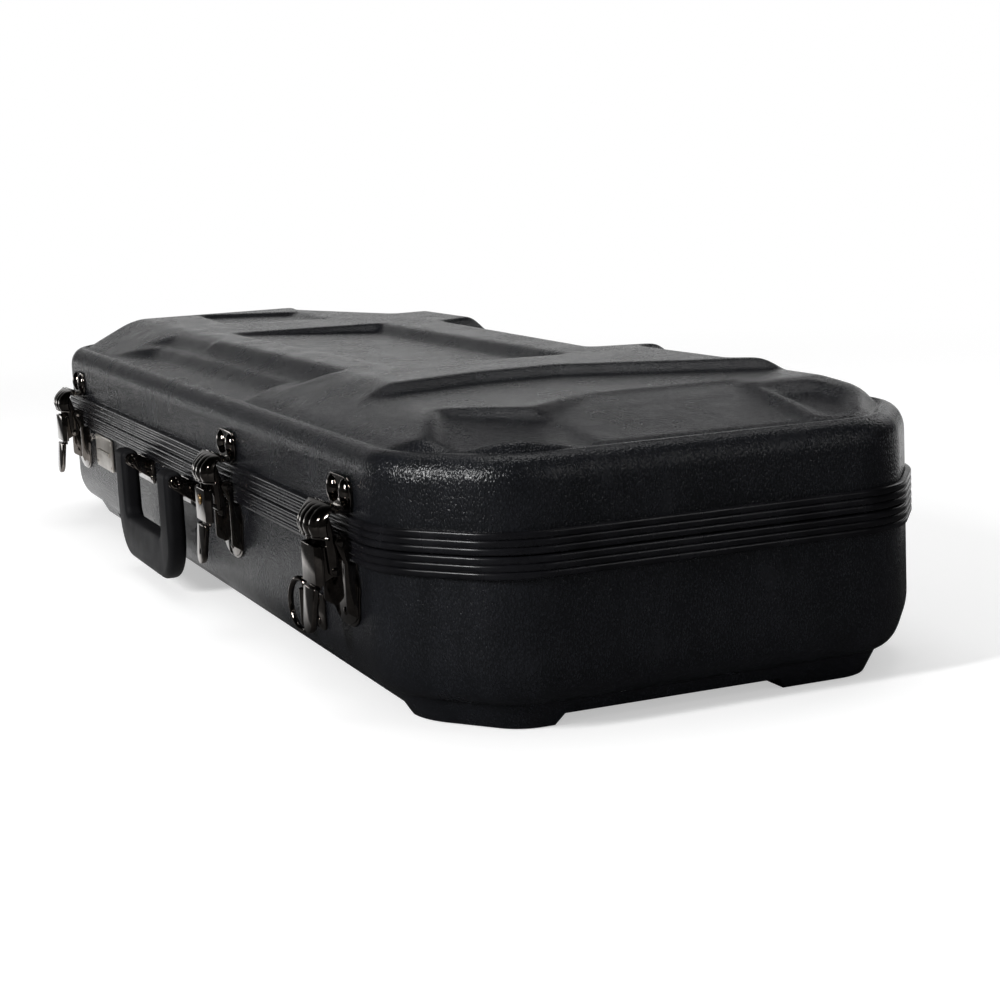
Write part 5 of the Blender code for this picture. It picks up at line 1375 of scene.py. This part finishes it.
    def pins(self) -> None:
        """The pivot pin with its heads outside the ears, and the hook's pin."""
        for word, body, node, place, grip, head, height in (
            ("rivet", Body.BASE, "pivot_pin", self.pivot, 2 * (self.ear + 0.0003), 0.0024, 0.0010),
            ("hook_rod", f"lever_{self.side}", "hook_pin", self.hook_pin, self.hook_grip, 0.0019, 0.0008),
        ):
            dome = [(head * cos(t), grip + height * sin(t)) for t in np.linspace(0, pi / 2, 5)]
            foot = [(radius, grip - along) for radius, along in reversed(dome)]
            profile = [*foot, (self.shank, 0), (self.shank, grip), *dome]
            pin = Form().turned(self.at(-grip / 2, *place), ALONG, profile)
            pin.finish(f"latch_{word}_{self.side}", NICKEL, body, f"latch_{node}_{self.side}")

    def keeper(self) -> None:
        """The keeper on the lid: a plate with two domed lobes and an upturned lip."""
        outline = rectangle(-0.0168, 0.0168, 0.0112, 0.0285, 0.0072)
        form = Form().plate(outline, self.x, self.plate, self.sheet, 0.0005, 3)
        seat = self.plate + self.sunk
        lip = [
            (seat, 0.0125), (0.0063, 0.0125), (0.0063, 0.0165), (0.0048, 0.0165), (0.0048, 0.0140),
            (seat, 0.0140),
        ]
        form.cheek(lip, self.x - 0.0160, 0.0320, 0.0004)
        for across in (-self.lobe_spread, self.lobe_spread):
            part = bmesh.new()
            place = self.at(across, seat, self.lobe_rise)
            bmesh.ops.create_uvsphere(part, u_segments=32, v_segments=20, radius=1)
            bmesh.ops.scale(part, vec=self.lobe_size, verts=part.verts)
            bmesh.ops.translate(part, verts=part.verts, vec=place)
            bmesh.ops.bisect_plane(
                part, geom=part.verts[:] + part.edges[:] + part.faces[:], plane_co=place,
                plane_no=-OUT, clear_outer=True,
            )
            bmesh.ops.holes_fill(part, edges=part.edges)
            form.take(part)
        form.finish(f"keeper_{self.side}", NICKEL, Body.LID, f"latch_keeper_{self.side}")


@dataclass
class KeyLock:
    """The brass cylinder in the centre latch, with a collar and a keyway."""

    x: float
    face: float = 0.0161
    rise: float = -0.0087
    radius: float = 0.0030
    length: float = 0.0062

    def build(self) -> None:
        """Turns the cylinder and cuts its keyway."""
        profile = [
            (0, 0), (0.0017, 0), (0.0019, 0.00015), (0.0021, 0), (0.0027, 0), (self.radius, 0.0003),
            (self.radius, self.length), (0, self.length),
        ]
        form = Form().turned(PLAN.front(self.x, self.face, self.rise), -OUT, profile, 32)
        slot = rectangle(-0.00045, 0.00045, -0.0019, 0.0019)
        points = [PLAN.front(self.x + a, self.face + 0.004, self.rise + b) for a, b in slot]
        tool = Form().slab(points, Vector((0, 0.0055, 0)))
        form.cut(tool).finish("key_cylinder", BRASS, Body.LOCK, "lock_cylinder")


# Handle, ring and nameplate


@dataclass
class DropHandle:
    """The drop handle on two forked brackets with hollow pins."""

    x: float = -0.043993
    half: float = 0.070
    arm: float = 0.023
    back: float = 0.0046
    face: float = 0.0160
    top: float = -0.0048
    bottom: float = -0.0730
    grip: float = 0.0270
    outer: float = 0.030
    inner: float = 0.006
    corner: float = 0.004
    softness: float = 0.0050
    pin: tuple[float, float] = (0.0100, -0.0105)
    bore: float = 0.0023
    head: float = 0.0032
    plate: float = -0.0027
    sheet: float = 0.0015
    rivet: tuple[float, float] = (0.0022, 0.0012)
    ear: float = 0.0020

    def build(self) -> None:
        """Makes the grip, the brackets and the pins."""
        self.loop()
        spread = self.half - self.arm / 2
        for word, x in (("left", self.x - spread), ("right", self.x + spread)):
            self.bracket(word, x)
            self.hollow_pin(word, x)

    def loop(self) -> None:
        """The thick moulded U with its soft edges and pin bores."""
        left, right = self.x - self.half, self.x + self.half
        grip_top = self.bottom + self.grip
        corners = [
            (left, self.bottom), (right, self.bottom), (right, self.top),
            (right - self.arm, self.top), (right - self.arm, grip_top),
            (left + self.arm, grip_top), (left + self.arm, self.top), (left, self.top),
        ]
        sides, bends = [self.corner] * 2, [self.inner] * 2
        outline = rounded(corners, [self.outer, self.outer, *sides, *bends, *sides], 10)
        form = Form().plate(outline, 0, self.back, self.face - self.back, self.softness, 6)
        length = 2 * self.half + 0.02
        profile = [(0, 0), (self.bore, 0), (self.bore, length), (0, length)]
        form.cut(Form().turned(PLAN.front(left - 0.01, *self.pin), ALONG, profile))
        form.finish("moulded_handle", MOULDING, Body.HANDLE, "handle", sharp=radians(50))

    def bracket(self, word: str, x: float) -> None:
        """A plate on the wall with an ear on both sides of the arm, and four rivets."""
        outside = self.arm / 2 + 0.0005 + self.ear
        half = outside + 0.0090
        outline = rectangle(-half, half, -0.0265, -0.0112, 0.0025)
        form = Form().plate(outline, x, self.plate, self.sheet, 0.0004)
        seat = self.plate + 0.0008
        ear = [(seat, -0.0240), *arc(self.pin, 0.0042, -pi / 4, pi, 14), (0.0018, -0.0112), (seat, -0.0115)]
        for sign in (-1, 1):
            form.cheek(ear, x + sign * outside, -sign * self.ear, 0.0005)
            for rise in (-0.0155, -0.0225):
                place = PLAN.front(x + sign * (outside + 0.0050), self.plate + self.sheet, rise)
                form.rivet(place, OUT, *self.rivet)
        form.finish(f"handle_fork_{word}", NICKEL, Body.BASE, f"handle_bracket_{word}")

    def hollow_pin(self, word: str, x: float) -> None:
        """The pin, with a ring-shaped head at each end."""
        grip = 2 * (self.arm / 2 + 0.0025 + 0.0003)
        hollow = grip - 0.0010
        head = [
            (self.head, 0.0002), (self.head, 0.0008), (0.0028, 0.0012), (0.0018, 0.0012), (0.0014, 0.0008)
        ]
        far = [(radius, grip + along) for radius, along in head] + [(0.0014, hollow), (0, hollow)]
        near = [(radius, grip - along) for radius, along in reversed(far)]
        shank = [(self.head, 0), (0.0020, 0), (0.0020, grip), (self.head, grip)]
        form = Form().turned(PLAN.front(x - grip / 2, *self.pin), ALONG, [*near, *shank, *far])
        form.finish(f"handle_tube_pin_{word}", NICKEL, Body.BASE, f"handle_pin_{word}")


@dataclass
class StrapRing:
    """A D-shaped wire ring in a rolled bracket beside the right latch."""

    x: float = 0.25009
    reach: float = 0.0008
    rise: float = -0.0445
    tube: float = 0.0032
    bore: float = 0.0019
    wire: float = 0.0015
    half: float = 0.0130
    depth: float = 0.0180
    tilt: float = radians(8)
    plate: float = -0.0027
    sheet: float = 0.0013
    rivet: tuple[float, float] = (0.0022, 0.0011)
    plate_half: float = 0.0090
    tube_length: float = 0.0186
    plate_width: float = 0.0220

    def build(self) -> None:
        """Makes the bracket with its rolled tube and the wire ring."""
        low, high = self.rise - self.plate_half, self.rise + self.plate_half
        corners = [(0, low), (self.plate_width, low), (self.plate_width, high), (0, high)]
        outline = rounded(corners, [0.0004, 0.0030, 0.0030, 0.0004])
        form = Form().plate(outline, self.x, self.plate, self.sheet, 0.0004)
        profile = sleeve(self.tube, self.bore, self.tube_length)
        form.turned(PLAN.front(self.x, self.reach, low - 0.0003), UP, profile, 28)
        for rise in (self.rise - 0.0050, self.rise + 0.0050):
            place = PLAN.front(self.x + 0.0135, self.plate + self.sheet, rise)
            form.rivet(place, OUT, *self.rivet)
        form.finish("rolled_ring_bracket", NICKEL, Body.BASE, "strap_ring_bracket")
        centre = PLAN.front(self.x, self.reach, self.rise)
        outward = Vector((-cos(self.tilt), -sin(self.tilt), 0))
        corners = [(0, -self.half), (self.depth, -self.half), (self.depth, self.half), (0, self.half)]
        nose = self.half - 0.0003
        path = rounded(corners, [0.0035, nose, nose, 0.0035], 10)
        points = [centre + outward * out + UP * up for out, up in path]
        ring = Form().tube(points, self.wire, 14, True)
        ring.finish("wire_strap_ring", NICKEL, Body.RING, "strap_ring", sharp=radians(60))


@dataclass
class Nameplate:
    """A bare plate with a raised bar and a small rivet in each corner."""

    x: float = -0.23509
    width: float = 0.054
    height: float = 0.023
    top: float = -0.0125
    plate: float = -0.0027
    sheet: float = 0.0012
    margin: float = 0.0030
    rivet: tuple[float, float] = (0.0012, 0.0007)

    def build(self) -> None:
        """Makes the plate."""
        bottom, half = self.top - self.height, self.width / 2
        outline = rectangle(-half, half, bottom, self.top, 0.0020)
        form = Form().plate(outline, self.x, self.plate, self.sheet, 0.0003)
        middle = self.top - self.height / 2
        bar = rectangle(-0.019, 0.019, middle - 0.0015, middle + 0.0015, 0.0012)
        form.plate(bar, self.x, self.plate + 0.0006, 0.0016, 0.0005, 3)
        for across in (-1, 1):
            for rise in (self.top - self.margin, bottom + self.margin):
                x = self.x + across * (half - self.margin)
                form.rivet(PLAN.front(x, self.plate + self.sheet, rise), OUT, *self.rivet)
        form.finish("bare_nameplate", PLATE, Body.BASE, "nameplate")


# Lining


@dataclass
class Padding:
    """Plush over foam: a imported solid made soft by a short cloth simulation.

    The simulated surface starts inside the solid and is held within a few millimetres of it,
    so that it never reaches through the shell.
    """

    name: str
    node: str
    body: Body
    fill: float
    voxel: float = 0.006
    smoothing: int = 2
    shrink: float = 0.0030
    cap: float = 0.0060
    pressure: float = 4.0
    stiffness: float = 40
    frames: int = 20
    side_inset: float = 0.0066
    lowest: float = 0.0002
    highest: float = 0.0020

    def build(self) -> None:
        """Remeshes a copy of the solid, lets it swell, holds it in its space and dresses it."""
        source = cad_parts[self.node]
        bm = bmesh.new()
        bm.from_mesh(source.data)
        bmesh.ops.remove_doubles(bm, verts=bm.verts, dist=1e-6)
        piece = settle(self.name, bm)
        remesh = piece.modifiers.new("voxels", "REMESH")
        remesh.mode, remesh.voxel_size = "VOXEL", self.voxel
        self.bake(piece)
        bm = bmesh.new()
        bm.from_mesh(piece.data)
        for _ in range(self.smoothing):
            bmesh.ops.smooth_vert(
                bm, verts=bm.verts, factor=0.5, use_axis_x=True, use_axis_y=True, use_axis_z=True
            )
        bm.normal_update()
        for vert in bm.verts:
            vert.co -= vert.normal * self.shrink
        bm.to_mesh(piece.data)
        bm.free()
        self.swell(piece)
        self.hold(piece)
        level = piece.modifiers.new("rounded", "SUBSURF")
        level.levels = level.render_levels = 1
        dress(piece, PLUSH, self.body, self.node, sharp=radians(180))

    @staticmethod
    def bake(piece: bpy.types.Object) -> None:
        """Applies a piece's modifiers."""
        graph = bpy.context.evaluated_depsgraph_get()
        made = bpy.data.meshes.new_from_object(piece.evaluated_get(graph))
        old = piece.data
        piece.modifiers.clear()
        piece.data = made
        bpy.data.meshes.remove(old)
        made.name = piece.name

    def swell(self, piece: bpy.types.Object) -> None:
        """Runs the cloth under pressure and keeps each point within the cap."""
        rest = np.array([vert.co for vert in piece.data.vertices])
        cloth = piece.modifiers.new("cloth", "CLOTH").settings
        cloth.use_pressure = True
        cloth.uniform_pressure_force = self.pressure
        cloth.quality = 4
        cloth.tension_stiffness = cloth.compression_stiffness = self.stiffness
        cloth.effector_weights.gravity = 0
        scene = bpy.context.scene
        for number in range(1, self.frames + 1):
            scene.frame_set(number)
        self.bake(piece)
        scene.frame_set(1)
        moved = np.array([vert.co for vert in piece.data.vertices])
        shift = moved - rest
        size = np.linalg.norm(shift, axis=1, keepdims=True)
        shift *= np.minimum(1, self.cap / np.maximum(size, 1e-9))
        piece.data.vertices.foreach_set("co", (rest + shift).ravel())

    def hold(self, piece: bpy.types.Object) -> None:
        """Keeps the piece between the shell's walls and within its solid's height."""
        low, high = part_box(self.node)
        points = np.array([vert.co for vert in piece.data.vertices])
        x, y = points[:, 0], points[:, 1] - PLAN.shift
        step = 1e-5
        depth = PLAN.inset_of(x, y)
        slope_x = (PLAN.inset_of(x + step, y) - depth) / step
        slope_y = (PLAN.inset_of(x, y + step) - depth) / step
        push = np.maximum(self.side_inset - depth, 0)
        points[:, 0] += slope_x * push
        points[:, 1] += slope_y * push
        points[:, 2] = np.clip(points[:, 2], low.z + self.lowest, high.z + self.highest)
        piece.data.vertices.foreach_set("co", points.ravel())
        piece.data.update()


@dataclass
class Interior:
    """The padded insert and lid lining, the ribbons on them and the bow holders."""

    neck_x: float = -0.061
    loop_x: float = -0.28987
    toggle_x: float = 0.22509
    spread: float = 0.068
    insert_rise: float = -0.0120
    lining_rise: float = 0.0280
    sunk: float = 0.0003
    clip_disc: float = 0.0025
    disc: float = 0.011
    neck: float = 0.003
    head: float = 0.0055
    toggle_height: float = 0.0050
    play: float = 0.0003

    def build(self) -> None:
        """Makes the padding, the strap, the loops, the posts and the toggles."""
        Padding("plush_insert", "base_insert", Body.BASE, 0.7).build()
        Padding("plush_lid_lining", "lid_lining", Body.LID, 0.6).build()
        self.ribbon("woven_neck_strap", "neck_strap", Body.BASE, self.neck_x, 0.0, 0.025, 0.0016,
                    (0.009, 0.012, 0.070), self.insert_rise + self.sunk, 1)
        for index, y in enumerate((-self.spread, self.spread), 1):
            self.ribbon(f"woven_bow_loop_{index}", f"bow_tip_loop_{index}", Body.LID, self.loop_x, y,
                        0.020, 0.0015, (0.013, 0.008, 0.024), self.lining_rise - self.sunk, -1)
            self.post(index, y)
            self.toggle(index, y)

    def ribbon(
        self, name: str, node: str, body: Body, x: float, y: float, width: float, thickness: float,
        shape: tuple[float, float, float], rise: float, sign: int,
    ) -> None:
        """A ribbon across the case with two flat feet and an arch, and a map along its length.

        Args:
            name: The piece's name.
            node: The solid it stands for.
            body: The body it rides on.
            x: The middle of its width.
            y: The middle of its length, without the frame's shift.
            width: Its width.
            thickness: Its thickness.
            shape: The arch's height, the feet's length and the arch's span.
            rise: Its lower face above the parting.
            sign: 1 where the arch stands up, -1 where it hangs.
        """
        arch, foot, span = shape
        line = [(-span / 2 - foot + foot * share, 0.0) for share in np.linspace(0, 0.8, 5)]
        line += [(span * (share - 0.5), arch * sin(pi * share) ** 1.15) for share in np.linspace(0, 1, 33)]
        line += [(span / 2 + foot * share, 0.0) for share in np.linspace(0.2, 1, 5)]
        part = bmesh.new()
        bmesh.ops.create_grid(part, x_segments=8, y_segments=len(line) - 1, size=0.5)
        chart = part.loops.layers.uv.new("ribbon")
        travelled = [0.0]
        for before, after in zip(line, line[1:]):
            travelled.append(travelled[-1] + hypot(after[0] - before[0], after[1] - before[1]))
        for face in part.faces:
            for loop in face.loops:
                along = travelled[round((loop.vert.co.y + 0.5) * (len(line) - 1))]
                loop[chart].uv = (along, loop.vert.co.x * width)
        for vert in part.verts:
            across, up = line[round((vert.co.y + 0.5) * (len(line) - 1))]
            crown = 0.0004 * cos(pi * vert.co.x)
            vert.co = Vector((
                x + vert.co.x * width, y + PLAN.shift + across,
                PLAN.parting + rise + sign * (up + thickness / 2 + crown),
            ))
        bmesh.ops.recalc_face_normals(part, faces=part.faces)
        bmesh.ops.solidify(part, geom=part.faces[:], thickness=thickness * 0.8)
        bmesh.ops.recalc_face_normals(part, faces=part.faces)
        piece = settle(name, part)
        edges = piece.modifiers.new("woven_edge", "BEVEL")
        edges.width, edges.segments, edges.limit_method = 0.0003, 2, "ANGLE"
        dress(piece, RIBBON, body, node)

    def post(self, index: int, y: float) -> None:
        """The headed post under the lining that carries a toggle."""
        seat = PLAN.parting + self.lining_rise - self.sunk
        drop = self.play + self.clip_disc + self.toggle_height + self.play
        edge, top = 0.0005, drop + 0.0020
        profile = [
            (0, 0), (self.disc - edge, 0), (self.disc, edge), (self.disc, self.clip_disc - edge),
            (self.disc - edge, self.clip_disc), (self.neck, self.clip_disc), (self.neck, drop),
            (self.head, drop), (self.head, top - 0.0008), (0.0050, top - 0.0002), (0.0040, top),
            (0.0012, top), (0.0008, top - 0.0004), (0, top - 0.0004),
        ]
        form = Form().turned(Vector((self.toggle_x, y + PLAN.shift, seat)), -UP, profile, 36)
        form.finish(f"bow_holder_post_{index}", MOULDING, Body.LID, f"bow_clip_post_{index}")

    def toggle(self, index: int, y: float) -> None:
        """The oblong toggle that turns on its post."""
        top = PLAN.parting + self.lining_rise - self.sunk - self.clip_disc - self.play
        outline = rectangle(-0.006, 0.006, -0.023, 0.023, 0.0057)
        points = [Vector((self.toggle_x + a, y + PLAN.shift + b, top)) for a, b in outline]
        form = Form().slab(points, -UP * self.toggle_height, 0.0012, 4)
        profile = [(0, 0), (0.0033, 0), (0.0033, 0.009), (0, 0.009)]
        form.cut(Form().turned(Vector((self.toggle_x, y + PLAN.shift, top + 0.002)), -UP, profile))
        name = f"bow_holder_toggle_{index}"
        form.finish(name, MOULDING, f"bow_toggle_{index}", f"bow_clip_toggle_{index}")


# Studio


@dataclass
class Studio:
    """A pale floor, a white surround, soft lamps and the camera at the photograph's angle."""

    focal_mm: float = 72.86
    sensor_mm: float = 36.0
    yaw: float = radians(67.76)
    pitch: float = radians(9.54)
    roll: float = radians(2.8)
    eye: tuple[float, float, float] = (1.192, -0.41705, 0.251)

    def build(self) -> None:
        """Sets the view transform and makes floor, surround, lamps and camera."""
        bpy.context.scene.view_settings.view_transform = "Standard"
        self.surround()
        self.floor()
        self.lamps()
        self.camera()

    def forward(self) -> Vector:
        """The camera's view direction."""
        return Vector((-sin(self.yaw) * cos(self.pitch), cos(self.yaw) * cos(self.pitch), -sin(self.pitch)))

    @staticmethod
    def rays(add: Add) -> tuple[bpy.types.NodeSocket, bpy.types.Node]:
        """What tells reflected rays, and what tells rays that the camera sees directly."""
        rays = add("LightPath").outputs
        links = {0: rays["Is Camera Ray"], 1: rays["Is Transmission Ray"]}
        return rays["Is Glossy Ray"], add("Math", {"operation": "MAXIMUM"}, links)

    def surround(self) -> None:
        """White to the camera; in reflections a white backdrop that fades up and round the room."""
        world = bpy.data.worlds.new("studio")
        bpy.context.scene.world = world
        add = adder(world)
        glossy, seen = self.rays(add)
        where = add("TexCoord").outputs["Generated"]
        ahead = self.forward()
        facing = add(
            "VectorMath", {"operation": "DOT_PRODUCT", 1: Vector((ahead.x, ahead.y, 0)).normalized()},
            {0: where},
        )
        turned = add("MapRange", {"From Min": -1.0, "From Max": 1.0}, {"Value": facing.outputs["Value"]})
        behind = add(
            "ValToRGB",
            {"stops": [(0.40, grey(0.02)), (0.86, grey(0.04)), (0.95, grey(0.22)), (0.985, grey(1.0))]},
            {"Fac": turned},
        )
        height = add("SeparateXYZ", links={"Vector": where})
        above = add(
            "MapRange", {"From Min": 0.10, "From Max": 0.36, "To Min": 1.0, "To Max": 0.06},
            {"Value": height.outputs["Z"]},
        )
        room = add("Math", {"operation": "MULTIPLY"}, {0: behind, 1: above})
        mirrored = add("Mix", {"data_type": "FLOAT", 2: 0.36}, {0: glossy, 3: room})
        level = add("Mix", {"data_type": "FLOAT", 3: 1.0}, {0: seen, 2: mirrored})
        light = add("Background", {"Color": grey(1.0)}, {"Strength": level})
        add("OutputWorld", links={"Surface": light})

    def floor(self) -> None:
        """A pale paper floor that keeps the case's shadow and fades to the white surround.

        Reflections see it painted dark before the front and the near end, a painted shade, and painted
        brighter elsewhere by a glow that only reflections see.
        """
        bm = bmesh.new()
        bmesh.ops.create_circle(bm, cap_ends=True, segments=96, radius=6.0)
        floor = settle("studio_floor", bm)
        material = bpy.data.materials.new("pale_paper")
        add = adder(material)
        glossy, seen = self.rays(add)
        where = add("TexCoord").outputs["Object"]
        away = add("VectorMath", {"operation": "LENGTH"}, {0: where})
        fade = add(
            "MapRange", {"From Min": 0.75, "From Max": 1.7, "interpolation_type": "SMOOTHSTEP"},
            {"Value": away.outputs["Value"]},
        )
        white = add("Math", {"operation": "MULTIPLY"}, {0: seen, 1: fade})
        split = add("SeparateXYZ", links={"Vector": where})
        # For reflections only: painted shade before the front and the near end, and a painted glow
        # elsewhere.
        near = add(
            "MapRange", {"From Min": -0.14, "From Max": 0.18, "interpolation_type": "SMOOTHSTEP"},
            {"Value": split.outputs["X"]},
        )
        beyond = add(
            "MapRange", {"From Min": -0.19, "From Max": -0.28, "interpolation_type": "SMOOTHSTEP"},
            {"Value": split.outputs["Y"]},
        )
        dark = add("Math", {"operation": "MAXIMUM"}, {0: near, 1: beyond})
        reflection_shade_mask = add("Math", {"operation": "MULTIPLY"}, {0: dark, 1: glossy})
        reflection_glow_mask = add("Math", {"operation": "SUBTRACT"}, {0: glossy, 1: reflection_shade_mask})
        # A glow that only reflections see: painted reflection light, not bounce light.
        painted_reflection_glow = add("Math", {"operation": "MULTIPLY", 1: 0.45}, {0: reflection_glow_mask})
        lift = add("Math", {"operation": "MULTIPLY_ADD", 1: 0.46}, {0: seen, 2: painted_reflection_glow})
        shaded = add("Mix", {"data_type": "RGBA", 6: colour("dadada"), 7: colour("3a3a3a")}, {0: reflection_shade_mask})
        paper = add(
            "BsdfPrincipled", {"Roughness": 0.9, "Emission Color": grey(1.0), "Specular IOR Level": 0.1},
            {"Base Color": shaded.outputs[2], "Emission Strength": lift},
        )
        glow = add("Emission", {"Color": grey(1.0), "Strength": 1.0})
        mixed = add("MixShader", {}, {0: white, 1: paper, 2: glow})
        add("OutputMaterial", links={"Surface": mixed})
        floor.data.materials.append(material)

    def lamps(self) -> None:
        """A wide overhead softbox, two strips that draw lines of light on the metal, and fills."""
        target = Vector((0, 0, 0.08))
        for name, place, size, power in (
            ("overhead_softbox", (-0.3, 0.2, 1.9), (1.5, 1.0), 11.0),
            ("key_strip", (0.62, -1.50, 0.82), (0.20, 0.50), 26.0),
            ("low_card", (-1.40, -0.62, 0.10), (0.40, 0.14), 0.5),
            ("end_strip", (1.75, 0.75, 0.85), (0.10, 1.0), 3.0),
            ("rear_fill", (-0.8, 1.9, 1.1), (1.2, 0.9), 5.0),
        ):
            lamp = bpy.data.lights.new(name, "AREA")
            lamp.shape = "RECTANGLE"
            lamp.size, lamp.size_y = size
            lamp.energy = power
            holder = linked(name, lamp)
            holder.location = place
            holder.rotation_euler = (target - Vector(place)).to_track_quat("-Z", "Y").to_euler()

    def camera(self) -> None:
        """The camera at the photograph's place, turn and lens."""
        ahead = self.forward()
        level = ahead.cross(UP).normalized()
        down = ahead.cross(level)
        right = cos(self.roll) * level + sin(self.roll) * down
        below = -sin(self.roll) * level + cos(self.roll) * down
        data = bpy.data.cameras.new("photo_camera")
        data.lens, data.sensor_width = self.focal_mm, self.sensor_mm
        data.clip_start, data.clip_end = 0.05, 50.0
        holder = linked("photo_camera", data)
        turn = Matrix((right, -below, -ahead)).transposed()
        holder.matrix_world = Matrix.Translation(self.eye) @ turn.to_4x4()
        bpy.context.scene.camera = holder


def main() -> None:
    """Builds the case's sub-assemblies in order."""
    logging.basicConfig(level=logging.INFO, format="%(name)s: %(message)s")
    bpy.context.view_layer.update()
    Studio().build()
    BaseShell().build()
    Valances().build()
    LidShell().build()
    for index, x in enumerate((-PLAN.hinge_spread, 0.0, PLAN.hinge_spread), 1):
        ButtHinge(index, x).build()
    for side, x in zip(Side, (-PLAN.latch_spread, PLAN.centre_latch, PLAN.latch_spread)):
        DrawLatch(side, x).build()
    KeyLock(PLAN.centre_latch).build()
    DropHandle().build()
    StrapRing().build()
    Nameplate().build()
    Interior().build()


if __name__ == "__main__":
    main()
